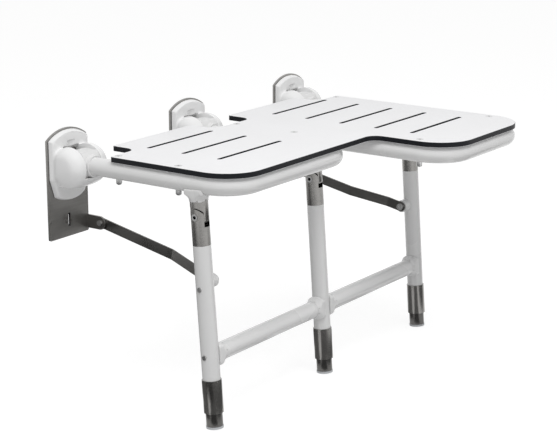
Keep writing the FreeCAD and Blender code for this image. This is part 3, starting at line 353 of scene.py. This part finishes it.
def coated(name, base, rough, peel_scale, peel_depth, coat=0.0):
    """Powder coat or satin moulding."""
    mat, tree, shader, coords = new_material(name)
    texture = add(tree, "ShaderNodeGroup", (-500, 0), node_tree=coat_texture())
    texture.inputs["Peel Scale"].default_value = peel_scale
    wire(tree, (coords.outputs["Object"], texture.inputs["Vector"]))
    tint(tree, texture.outputs["Cloud"], shade(base, 0.985), shade(base, 1.01),
         shader.inputs["Base Color"])
    spread_to(tree, texture.outputs["Cloud"], rough[0], rough[1], shader.inputs["Roughness"])
    relief(tree, texture.outputs["Peel"], peel_depth, shader)
    shader.inputs["Coat Weight"].default_value = coat
    shader.inputs["Coat Roughness"].default_value = 0.08
    return mat


def brushed(name, base, turn, rough, depth):
    """Brushed stainless steel with its grain turned to lie along the part."""
    mat, tree, shader, coords = new_material(name)
    turned = add(tree, "ShaderNodeMapping", (-900, 0))
    turned.inputs["Rotation"].default_value = turn
    grain = add(tree, "ShaderNodeGroup", (-500, 0), node_tree=brushed_grain())
    wire(
        tree,
        (coords.outputs["Object"], turned.inputs["Vector"]),
        (turned.outputs["Vector"], grain.inputs["Vector"]),
    )
    tint(tree, grain.outputs["Streak"], shade(base, 0.86), shade(base, 1.12),
         shader.inputs["Base Color"])
    spread_to(tree, grain.outputs["Smudge"], rough[0], rough[1], shader.inputs["Roughness"])
    relief(tree, grain.outputs["Scratch"], depth, shader)
    shader.inputs["Metallic"].default_value = 1.0
    return mat


def cut_edge_and_slot_shade(mat, width, low, high):
    """Darkens the cut walls of the upright slot low on the outer plates to near black: partly a
    burnt cut edge, partly painted shade in the slot.
    """
    tree = mat.node_tree
    shader = tree.nodes["Principled BSDF"]
    coords = tree.nodes["Texture Coordinate"]
    old = shader.inputs["Base Color"].links[0].from_socket
    split = add(tree, "ShaderNodeSeparateXYZ", (-900, 600))
    from_axis = add(tree, "ShaderNodeMath", (-700, 700), operation="ABSOLUTE")
    away = add(tree, "ShaderNodeMath", (-550, 700), operation="SUBTRACT")
    away.inputs[1].default_value = MOUNT_PITCH
    side = add(tree, "ShaderNodeMath", (-400, 700), operation="ABSOLUTE")
    across = add(tree, "ShaderNodeMath", (-250, 700), operation="LESS_THAN")
    across.inputs[1].default_value = width / 2
    level = add(tree, "ShaderNodeMath", (-700, 500), operation="SUBTRACT")
    level.inputs[1].default_value = (low + high) / 2
    height = add(tree, "ShaderNodeMath", (-550, 500), operation="ABSOLUTE")
    along = add(tree, "ShaderNodeMath", (-400, 500), operation="LESS_THAN")
    along.inputs[1].default_value = (high - low) / 2
    both = add(tree, "ShaderNodeMath", (-100, 600), operation="MULTIPLY")
    pick = add(tree, "ShaderNodeMix", (300, 450), data_type="RGBA")
    pick.inputs["B"].default_value = CUT_EDGE_AND_SHADE_COLOUR
    wire(
        tree,
        (coords.outputs["Object"], split.inputs["Vector"]),
        (split.outputs["X"], from_axis.inputs[0]),
        (from_axis.outputs["Value"], away.inputs[0]),
        (away.outputs["Value"], side.inputs[0]),
        (side.outputs["Value"], across.inputs[0]),
        (split.outputs["Z"], level.inputs[0]),
        (level.outputs["Value"], height.inputs[0]),
        (height.outputs["Value"], along.inputs[0]),
        (across.outputs["Value"], both.inputs[0]),
        (along.outputs["Value"], both.inputs[1]),
        (old, pick.inputs["A"]),
        (both.outputs["Value"], pick.inputs["Factor"]),
        (pick.outputs["Result"], shader.inputs["Base Color"]),
    )


def painted_socket_shade(mat, y, z, radius):
    """Paints shade into the hex socket of a bolt that lies along X: a near-black disc about its
    axis.
    """
    tree = mat.node_tree
    shader = tree.nodes["Principled BSDF"]
    coords = tree.nodes["Texture Coordinate"]
    old = shader.inputs["Base Color"].links[0].from_socket
    centre = add(tree, "ShaderNodeVectorMath", (-900, 600), operation="SUBTRACT")
    centre.inputs[1].default_value = (0, y, z)
    flat = add(tree, "ShaderNodeVectorMath", (-700, 600), operation="MULTIPLY")
    flat.inputs[1].default_value = (0, 1, 1)
    reach = add(tree, "ShaderNodeVectorMath", (-500, 600), operation="LENGTH")
    inside = add(tree, "ShaderNodeMath", (-300, 600), operation="LESS_THAN")
    inside.inputs[1].default_value = radius
    pick = add(tree, "ShaderNodeMix", (300, 450), data_type="RGBA")
    pick.inputs["B"].default_value = SOCKET_SHADE_COLOUR
    wire(
        tree,
        (coords.outputs["Object"], centre.inputs[0]),
        (centre.outputs["Vector"], flat.inputs[0]),
        (flat.outputs["Vector"], reach.inputs[0]),
        (reach.outputs["Value"], inside.inputs[0]),
        (old, pick.inputs["A"]),
        (inside.outputs["Value"], pick.inputs["Factor"]),
        (pick.outputs["Result"], shader.inputs["Base Color"]),
    )


def laminate(name, face, core, skin):
    """White faces over a dark core, told apart by height in the panel."""
    mat, tree, shader, coords = new_material(name)
    texture = add(tree, "ShaderNodeGroup", (-500, 200), node_tree=coat_texture())
    texture.inputs["Peel Scale"].default_value = 700.0
    split = add(tree, "ShaderNodeSeparateXYZ", (-900, -300))
    middle = add(tree, "ShaderNodeMath", (-700, -300), operation="SUBTRACT")
    middle.inputs[1].default_value = (PANEL_LOW.z + PANEL_HIGH.z) / 2
    away = add(tree, "ShaderNodeMath", (-500, -300), operation="ABSOLUTE")
    inside = add(tree, "ShaderNodeMapRange", (-300, -300))
    edge = (PANEL_HIGH.z - PANEL_LOW.z) / 2 - skin
    inside.inputs["From Min"].default_value = edge + SKIN_BLUR
    inside.inputs["From Max"].default_value = edge - SKIN_BLUR
    white = add(tree, "ShaderNodeMix", (-100, 400), data_type="RGBA")
    white.inputs["A"].default_value = (*shade(face, 0.985), 1.0)
    white.inputs["B"].default_value = (*shade(face, 1.01), 1.0)
    pick = add(tree, "ShaderNodeMix", (150, 250), data_type="RGBA")
    pick.inputs["B"].default_value = (*core, 1.0)
    wire(
        tree,
        (coords.outputs["Object"], texture.inputs["Vector"]),
        (coords.outputs["Object"], split.inputs["Vector"]),
        (split.outputs["Z"], middle.inputs[0]),
        (middle.outputs["Value"], away.inputs[0]),
        (away.outputs["Value"], inside.inputs["Value"]),
        (texture.outputs["Cloud"], white.inputs["Factor"]),
        (white.outputs["Result"], pick.inputs["A"]),
        (inside.outputs["Result"], pick.inputs["Factor"]),
        (pick.outputs["Result"], shader.inputs["Base Color"]),
    )
    shader.inputs["Specular IOR Level"].default_value = 0.18
    spread_to(tree, texture.outputs["Cloud"], 0.38, 0.46, shader.inputs["Roughness"])
    relief(tree, texture.outputs["Peel"], 0.00004, shader)
    return mat


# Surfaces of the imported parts

def smooth_tree():
    """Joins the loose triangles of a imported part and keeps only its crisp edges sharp."""
    name = "Smooth Form"
    if name in bpy.data.node_groups:
        return bpy.data.node_groups[name]
    tree = bpy.data.node_groups.new(name, "GeometryNodeTree")
    tree.is_modifier = True
    tree.interface.new_socket(name="Geometry", in_out="INPUT", socket_type="NodeSocketGeometry")
    limit = tree.interface.new_socket(
        name="Crease Angle", in_out="INPUT", socket_type="NodeSocketFloat"
    )
    limit.default_value = settings()[1].crease
    tree.interface.new_socket(name="Geometry", in_out="OUTPUT", socket_type="NodeSocketGeometry")
    start = add(tree, "NodeGroupInput", (-900, 0))
    end = add(tree, "NodeGroupOutput", (700, 0))
    plain = add(tree, "GeometryNodeRemoveAttribute", (-700, 0))
    plain.inputs["Name"].default_value = "custom_normal"
    weld = add(tree, "GeometryNodeMergeByDistance", (-450, 0))
    weld.inputs["Distance"].default_value = WELD
    faces = add(tree, "GeometryNodeSetShadeSmooth", (-100, 0), domain="FACE")
    faces.inputs["Shade Smooth"].default_value = True
    edges = add(tree, "GeometryNodeSetShadeSmooth", (300, 0), domain="EDGE")
    edges.inputs["Shade Smooth"].default_value = False
    angle = add(tree, "GeometryNodeInputMeshEdgeAngle", (-450, -300))
    sharp = add(tree, "FunctionNodeCompare", (-100, -300), data_type="FLOAT",
                operation="GREATER_THAN")
    wire(
        tree,
        (start.outputs["Geometry"], plain.inputs["Geometry"]),
        (plain.outputs["Geometry"], weld.inputs["Geometry"]),
        (weld.outputs["Geometry"], faces.inputs["Geometry"]),
        (faces.outputs["Geometry"], edges.inputs["Geometry"]),
        (angle.outputs["Unsigned Angle"], sharp.inputs["A"]),
        (start.outputs["Crease Angle"], sharp.inputs["B"]),
        (sharp.outputs["Result"], edges.inputs["Selection"]),
        (edges.outputs["Geometry"], end.inputs["Geometry"]),
    )
    return tree


def finish_node(name, mat):
    """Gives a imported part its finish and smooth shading."""
    obj = NODES[name]
    if not obj.material_slots:
        obj.data.materials.append(mat)
    for entry in obj.material_slots:
        entry.link = "OBJECT"
        entry.material = mat
    form = obj.modifiers.new("Smooth Form", "NODES")
    form.node_group = smooth_tree()


def apply_modifiers(obj):
    """Works the object's modifiers into its mesh."""
    bpy.context.view_layer.update()
    shaped = obj.evaluated_get(bpy.context.evaluated_depsgraph_get())
    mesh = bpy.data.meshes.new_from_object(shaped)
    obj.modifiers.clear()
    obj.data = mesh


def moulded(name, node, body, mat, weigh, rounds, step, swell=None):
    """A soft-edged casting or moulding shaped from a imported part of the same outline."""
    mesh = bpy.data.meshes.new(name)
    bm = bmesh.new()
    bm.from_mesh(NODES[node].data)
    bmesh.ops.remove_doubles(bm, verts=bm.verts, dist=WELD)
    bm.to_mesh(mesh)
    bm.free()
    for key in ("custom_normal", "sharp_edge"):
        if key in mesh.attributes:
            mesh.attributes.remove(mesh.attributes[key])
    piece = bpy.data.objects.new(name, mesh)
    bpy.context.scene.collection.objects.link(piece)
    even = piece.modifiers.new("Even Surface", "REMESH")
    even.mode = "VOXEL"
    even.voxel_size = step
    apply_modifiers(piece)
    if swell:
        for vert in piece.data.vertices:
            vert.co = swell(vert.co)
    blend = piece.vertex_groups.new(name="Blend")
    for vert in piece.data.vertices:
        blend.add([vert.index], weigh(vert.co), "REPLACE")
    soft = piece.modifiers.new("Blend", "SMOOTH")
    soft.vertex_group = "Blend"
    soft.factor = 0.5
    soft.iterations = rounds
    last = piece.modifiers.new("Polish", "SMOOTH")
    last.factor = 0.5
    last.iterations = POLISH_ROUNDS
    apply_modifiers(piece)
    piece.vertex_groups.clear()
    piece.data.shade_smooth()
    piece.data.materials.clear()
    piece.data.materials.append(mat)
    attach(piece, body)
    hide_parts(node)
    return piece


def fade(value, start, end):
    """0 before start, 1 past end."""
    return min(1.0, max(0.0, (value - start) / (end - start)))


class WALLSEAT_OT_panel(bpy.types.Operator):
    """Finish the slotted panel in white laminate over a dark core"""

    bl_idname = "wallseat.panel"
    bl_label = "Panel"

    def execute(self, context):
        colours, sizes, _ = settings()
        mat = laminate("Panel Laminate", colours.panel_face, colours.panel_core, sizes.skin)
        finish_node("seat_panel", mat)
        return {"FINISHED"}


class WALLSEAT_OT_frame(bpy.types.Operator):
    """Finish the bent tubes, legs, collars and knuckles in white powder coat"""

    bl_idname = "wallseat.frame"
    bl_label = "Painted Frame"

    def execute(self, context):
        colours, sizes, _ = settings()
        tube = coated("Tube Paint", colours.paint, rough=(0.20, 0.28), peel_scale=520.0,
                      peel_depth=0.00005, coat=0.15)
        cast = coated("Casting Paint", colours.paint, rough=(0.24, 0.34), peel_scale=420.0,
                      peel_depth=0.00008, coat=0.1)
        soften = {"weigh": lambda co: 1.0, "rounds": COLLAR_ROUNDS, "step": sizes.grain}
        for name in ("seat_frame_left", "seat_frame_right", "cross_bar_left", "cross_bar_right"):
            finish_node(name, tube)
        for side in SIDES:
            finish_node("leg_tube_" + side, tube)
            finish_node("hinge_knuckle_" + side, cast)
            piece = moulded("collar_" + side, "leg_collar_" + side, "seat", cast, **soften)
        for name in ("left", "middle_left", "middle_right", "right"):
            node = "cross_collar_" + name
            piece = moulded("bar_collar_" + name, node, "leg_frame", cast, **soften)
        for name in ("link_boss_left", "link_boss_right"):
            finish_node(name, cast)
        return {"FINISHED"}


class WALLSEAT_OT_covers(bpy.types.Operator):
    """Finish the domed hinge covers as satin moulded plastic"""

    bl_idname = "wallseat.covers"
    bl_label = "Hinge Covers"

    def execute(self, context):
        colours, sizes, _ = settings()
        mat = coated("Cover Moulding", colours.moulding, rough=(0.16, 0.24), peel_scale=1300.0,
                     peel_depth=0.00002)
        for side in SIDES:
            node = "hinge_cover_" + side
            low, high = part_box(node)
            middle = (low.x + high.x) / 2
            face = low.y + DOME_DEPTH

            def weigh(co):
                """Full on the dome and round its foot, none at the slot, the rim and the back."""
                across = abs(co.x - middle)
                skin = fade(-co.y, -face + FOOT_FADE[0], -face + FOOT_FADE[1])
                if co.z > HEAD_Z:
                    skin *= fade(-co.y, -face + HEAD_FADE[0], -face + HEAD_FADE[1])
                return skin * fade(across, *SLOT_FADE)

            def swell(co):
                """Bulges the dome's flat ends out a little."""
                across = co.x - middle
                reach = math.hypot(co.y - FOLD_AXIS_Y, co.z)
                if abs(across) > END_FADE[0] and co.y < face - END_CLEAR:
                    inside = max(0.0, 1 - (reach / END_RADIUS) ** 2)
                    push = END_BULGE * inside * fade(abs(across), *END_FADE)
                    return Vector((co.x + math.copysign(push, across), co.y, co.z))
                return co

            piece = moulded("cover_" + side, node, "wall", mat, weigh, COVER_ROUNDS, sizes.grain,
                            swell)
        return {"FINISHED"}


def tab_ear(side, mat, radius, hole):
    """The round end of a link's wall tab, a flat ring about the bolt in the tab's own plane."""
    low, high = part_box("wall_plate_" + side)
    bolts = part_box("link_wall_bolts")
    outward = -1 if side == "left" else 1
    inner = high.x if side == "left" else low.x
    centre = Vector((inner, low.y, (bolts[0].z + bolts[1].z) / 2))
    mesh = bpy.data.meshes.new("tab_ear_" + side)
    bm = bmesh.new()
    rim = bmesh.ops.create_circle(bm, segments=TAB_STEPS, radius=radius)["verts"]
    eye = bmesh.ops.create_circle(bm, segments=TAB_STEPS, radius=hole)["verts"]
    edges = [e for e in bm.edges if e.verts[0] in rim or e.verts[0] in eye]
    ring = bmesh.ops.bridge_loops(bm, edges=edges)["faces"]
    grown = bmesh.ops.extrude_face_region(bm, geom=ring)["geom"]
    grown = [v for v in grown if isinstance(v, bmesh.types.BMVert)]
    bmesh.ops.translate(bm, vec=(0, 0, TAB_THICK), verts=grown)
    bmesh.ops.recalc_face_normals(bm, faces=bm.faces)
    edges = [e for e in bm.edges if e.calc_face_angle(0) > 1.0]
    bmesh.ops.bevel(bm, geom=edges, offset=TAB_EDGE, segments=2, profile=0.5, affect="EDGES",
                    material=-1)
    turn = Matrix.Rotation(math.radians(90 * outward), 4, "Y")
    bmesh.ops.transform(bm, matrix=Matrix.Translation(centre) @ turn, verts=bm.verts)
    bmesh.ops.recalc_face_normals(bm, faces=bm.faces)
    bm.to_mesh(mesh)
    bm.free()
    mesh.materials.append(mat)
    piece = bpy.data.objects.new("tab_ear_" + side, mesh)
    bpy.context.scene.collection.objects.link(piece)
    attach(piece, "wall")


class WALLSEAT_OT_steel(bpy.types.Operator):
    """Finish the wall plates, leg fittings and links in brushed stainless steel"""

    bl_idname = "wallseat.steel"
    bl_label = "Stainless Parts"

    def execute(self, context):
        colours, sizes, _ = settings()
        slanted, upright = (0, 0, math.radians(45)), (0, 0, math.radians(90))
        plate = brushed("Plate Steel", colours.steel, turn=(0, 0, 0), rough=(0.26, 0.36),
                        depth=0.00002)
        # Near-black slot walls on the outer plates: burnt cut edge and painted shade
        cut_edge_and_slot_shade(plate, sizes.cut_width, sizes.cut_low, sizes.cut_high)
        fitting = brushed("Fitting Steel", colours.steel, turn=slanted, rough=(0.20, 0.28),
                          depth=0.00001)
        # Foot tubes: the same stainless painted darker, painted shade
        foot = brushed("Foot Steel Painted Shade", shade(colours.steel, 0.42), turn=slanted,
                       rough=(0.20, 0.28), depth=0.00001)
        # Links: the same stainless painted darker, painted shade for the dark they reflect
        strap = brushed("Link Steel Painted Shade", shade(colours.steel, 0.62), turn=upright,
                        rough=(0.26, 0.34), depth=0.00002)
        for side in SIDES:
            finish_node("wall_plate_" + side, plate)
            finish_node("hinge_lugs_" + side, plate)
            for part in ("leg_tongue_", "leg_clevis_", "leg_sleeve_"):
                finish_node(part + side, fitting)
            finish_node("foot_tube_" + side, foot)
        for side in ("left", "right"):
            tab_ear(side, plate, sizes.ear, sizes.ear_hole)
        finish_node("link_left", strap)
        finish_node("link_right", strap)
        return {"FINISHED"}


class WALLSEAT_OT_fixings(bpy.types.Operator):
    """Finish the screws, bolts, pins and cap nuts"""

    bl_idname = "wallseat.fixings"
    bl_label = "Fixings"

    def execute(self, context):
        colours, sizes, _ = settings()
        finish = {"turn": (0, math.radians(90), 0), "rough": (0.30, 0.40), "depth": 0.000005}
        mat = brushed("Fixing Steel", colours.fixing, **finish)
        pivot = brushed("Pivot Steel", colours.fixing, **finish)
        low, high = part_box("leg_pivot_bolts")
        # Painted shade in the pivot bolts' hex socket
        painted_socket_shade(pivot, (low.y + high.y) / 2, (low.z + high.z) / 2, sizes.socket)
        finish_node("leg_pivot_bolts", pivot)
        for name in ("hinge_pins", "link_wall_bolts", "link_leg_bolts",
                     "leg_side_screws", "panel_screws", "panel_cap_nuts"):
            finish_node(name, mat)
        return {"FINISHED"}


class WALLSEAT_OT_feet(bpy.types.Operator):
    """Finish the pale moulded caps under the feet"""

    bl_idname = "wallseat.feet"
    bl_label = "Foot Caps"

    def execute(self, context):
        colours, _, _ = settings()
        mat = coated("Foot Moulding", colours.foot, rough=(0.45, 0.6), peel_scale=900.0,
                     peel_depth=0.00006)
        for side in SIDES:
            finish_node("foot_cap_" + side, mat)
        return {"FINISHED"}


# Studio

def plane(name, centre, facing, width, height):
    """A flat card with its middle at a point, turned to face another."""
    mesh = bpy.data.meshes.new(name)
    bm = bmesh.new()
    bmesh.ops.create_grid(bm, x_segments=1, y_segments=1, size=0.5)
    bmesh.ops.scale(bm, vec=(width, height, 1), verts=bm.verts)
    turn = (Vector(facing) - Vector(centre)).to_track_quat("Z", "Y").to_matrix().to_4x4()
    bmesh.ops.transform(bm, matrix=Matrix.Translation(centre) @ turn, verts=bm.verts)
    bm.to_mesh(mesh)
    bm.free()
    obj = bpy.data.objects.new(name, mesh)
    bpy.context.scene.collection.objects.link(obj)
    return obj


def area_lamp(name, place, target, size, power):
    """A soft lamp that leaves no mark in gloss."""
    data = bpy.data.lights.new(name, "AREA")
    data.shape = "RECTANGLE"
    data.size, data.size_y = size
    data.energy = power
    obj = bpy.data.objects.new(name, data)
    bpy.context.scene.collection.objects.link(obj)
    obj.location = place
    obj.rotation_euler = (Vector(place) - Vector(target)).to_track_quat("Z", "Y").to_euler()
    obj.visible_glossy = False


def white_background():
    """The sky is plain white where it is seen or mirrored, and a plain level where it lights."""
    world = bpy.data.worlds.new("Studio")
    bpy.context.scene.world = world
    world.use_nodes = True
    tree = world.node_tree
    tree.nodes.clear()
    out = add(tree, "ShaderNodeOutputWorld", (600, 0))
    light = add(tree, "ShaderNodeBackground", (100, -150))
    light.inputs["Color"].default_value = (1, 1, 1, 1)
    light.inputs["Strength"].default_value = settings()[2].sky
    seen = add(tree, "ShaderNodeBackground", (100, 150))
    seen.inputs["Color"].default_value = (1, 1, 1, 1)
    mix = add(tree, "ShaderNodeMixShader", (350, 0))
    wire(
        tree,
        (seen_ray(tree), mix.inputs["Fac"]),
        (light.outputs["Background"], mix.inputs[1]),
        (seen.outputs["Background"], mix.inputs[2]),
        (mix.outputs["Shader"], out.inputs["Surface"]),
    )


def seen_ray(tree):
    """1 for rays from the camera, from gloss and through glass, else 0."""
    path = add(tree, "ShaderNodeLightPath", (-700, 0))
    first = add(tree, "ShaderNodeMath", (-400, 0), operation="MAXIMUM")
    second = add(tree, "ShaderNodeMath", (-150, 0), operation="MAXIMUM")
    wire(
        tree,
        (path.outputs["Is Camera Ray"], first.inputs[0]),
        (path.outputs["Is Glossy Ray"], first.inputs[1]),
        (first.outputs["Value"], second.inputs[0]),
        (path.outputs["Is Transmission Ray"], second.inputs[1]),
    )
    return second.outputs["Value"]


def floor_material():
    """Pale floor that reads white to the camera and keeps a soft shadow."""
    mat, tree, shader, _ = new_material("Studio Floor")
    shader.inputs["Base Color"].default_value = (0.8, 0.8, 0.8, 1)
    shader.inputs["Roughness"].default_value = 0.9
    shader.inputs["Specular IOR Level"].default_value = 0.0
    out = tree.nodes["Material Output"]
    soft = add(tree, "ShaderNodeBsdfDiffuse", (500, -300))
    soft.inputs["Color"].default_value = (0.30, 0.30, 0.30, 1)
    glow = add(tree, "ShaderNodeEmission", (500, -450))
    glow.inputs["Strength"].default_value = 0.84
    both = add(tree, "ShaderNodeAddShader", (700, -350))
    mix = add(tree, "ShaderNodeMixShader", (900, -150))
    out.location = (1100, 0)
    wire(
        tree,
        (soft.outputs["BSDF"], both.inputs[0]),
        (glow.outputs["Emission"], both.inputs[1]),
        (seen_ray(tree), mix.inputs["Fac"]),
        (shader.outputs["BSDF"], mix.inputs[1]),
        (both.outputs["Shader"], mix.inputs[2]),
        (mix.outputs["Shader"], out.inputs["Surface"]),
    )
    return mat


def dark_card(name, start, toward, near, far, length, level):
    """A dark card that lies flat and shows only in gloss, for the dark bands in bare metal."""
    mesh = bpy.data.meshes.new(name)
    bm = bmesh.new()
    bmesh.ops.create_grid(bm, x_segments=1, y_segments=1, size=0.5)
    bmesh.ops.translate(bm, vec=(0.5, 0, 0), verts=bm.verts)
    for vert in bm.verts:
        vert.co.y *= far if vert.co.x > 0.5 else near
    bmesh.ops.scale(bm, vec=(length, 1, 1), verts=bm.verts)
    turn = Matrix.Rotation(math.atan2(toward[1], toward[0]), 4, "Z")
    bmesh.ops.transform(bm, matrix=Matrix.Translation(start) @ turn, verts=bm.verts)
    bm.to_mesh(mesh)
    bm.free()
    card = bpy.data.objects.new(name, mesh)
    bpy.context.scene.collection.objects.link(card)
    mat = bpy.data.materials.new(name)
    mat.use_nodes = True
    tree = mat.node_tree
    tree.nodes.clear()
    glow = add(tree, "ShaderNodeEmission", (0, 0))
    glow.inputs["Color"].default_value = (level, level, level, 1)
    out = add(tree, "ShaderNodeOutputMaterial", (300, 0))
    wire(tree, (glow.outputs["Emission"], out.inputs["Surface"]))
    card.data.materials.append(mat)
    card.visible_camera = False
    card.visible_diffuse = False
    card.visible_transmission = False
    card.visible_shadow = False


class WALLSEAT_OT_stage(bpy.types.Operator):
    """Set the floor, sky, lamps and camera"""

    bl_idname = "wallseat.stage"
    bl_label = "Studio"

    def execute(self, context):
        _, _, studio = settings()
        ground = CAD_BOX[0][2]
        floor = plane("studio_floor", (*FLOOR_MIDDLE, ground), (*FLOOR_MIDDLE, 9),
                      FLOOR_SIZE, FLOOR_SIZE)
        floor.data.materials.append(floor_material())
        aside = Vector((FEET_FLAGS.y, -FEET_FLAGS.x, 0))
        for side in SIDES:
            low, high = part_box("leg_sleeve_" + side)
            foot = Vector(((low.x + high.x) / 2, (low.y + high.y) / 2, ground + FEET_LIFT))
            dark_card("front_flag_" + side, foot + FEET_FLAGS * 0.04, FEET_FLAGS,
                      near=0.08, far=1.0, length=1.5, level=0.16)
            dark_card("side_flag_" + side, foot + aside * 0.05, aside,
                      near=0.12, far=0.5, length=0.4, level=0.20)
        for name, start, lift, toward, near, far, length, level in CARDS:
            dark_card(name, (*start, ground + lift), toward, near, far, length, level)
        white_background()
        area_lamp("key_lamp", KEY_PLACE, KEY_TARGET, KEY_SIZE, studio.key)
        back = Vector((-math.sin(ACROSS) * math.cos(ABOVE), -math.cos(ACROSS) * math.cos(ABOVE),
                       math.sin(ABOVE)))
        data = bpy.data.cameras.new("photo_camera")
        data.lens = studio.lens
        data.sensor_width = SENSOR
        data.clip_start, data.clip_end = 0.05, 60.0
        camera = bpy.data.objects.new("photo_camera", data)
        context.scene.collection.objects.link(camera)
        camera.location = EYE
        camera.rotation_euler = (-back).to_track_quat("-Z", "Y").to_euler()
        context.scene.camera = camera
        context.scene.view_settings.view_transform = "Standard"
        return {"FINISHED"}


class WALLSEAT_PT_sidebar(bpy.types.Panel):
    """Lists the pieces and what can be set"""

    bl_idname = "WALLSEAT_PT_sidebar"
    bl_label = "Wall Seat"
    bl_space_type = "VIEW_3D"
    bl_region_type = "UI"
    bl_category = "Wall Seat"

    def draw(self, context):
        layout = self.layout
        for group in settings():
            box = layout.box()
            for key in group.__annotations__:
                box.prop(group, key)
        for cls in OPERATORS:
            layout.operator(cls.bl_idname)


GROUPS = (WallSeatColours, WallSeatSizes, WallSeatStudio)
OPERATORS = (
    WALLSEAT_OT_panel, WALLSEAT_OT_frame, WALLSEAT_OT_covers, WALLSEAT_OT_steel,
    WALLSEAT_OT_fixings, WALLSEAT_OT_feet, WALLSEAT_OT_stage,
)


def register():
    for cls in (*GROUPS, *OPERATORS, WALLSEAT_PT_sidebar):
        bpy.utils.register_class(cls)
    bpy.types.Scene.wall_seat_colours = PointerProperty(type=WallSeatColours)
    bpy.types.Scene.wall_seat_sizes = PointerProperty(type=WallSeatSizes)
    bpy.types.Scene.wall_seat_studio = PointerProperty(type=WallSeatStudio)


def unregister():
    del bpy.types.Scene.wall_seat_studio
    del bpy.types.Scene.wall_seat_sizes
    del bpy.types.Scene.wall_seat_colours
    for cls in reversed((*GROUPS, *OPERATORS, WALLSEAT_PT_sidebar)):
        bpy.utils.unregister_class(cls)


def main():
    register()
    bpy.ops.wallseat.panel()
    bpy.ops.wallseat.frame()
    bpy.ops.wallseat.covers()
    bpy.ops.wallseat.steel()
    bpy.ops.wallseat.fixings()
    bpy.ops.wallseat.feet()
    bpy.ops.wallseat.stage()


if __name__ == "__main__":
    main()
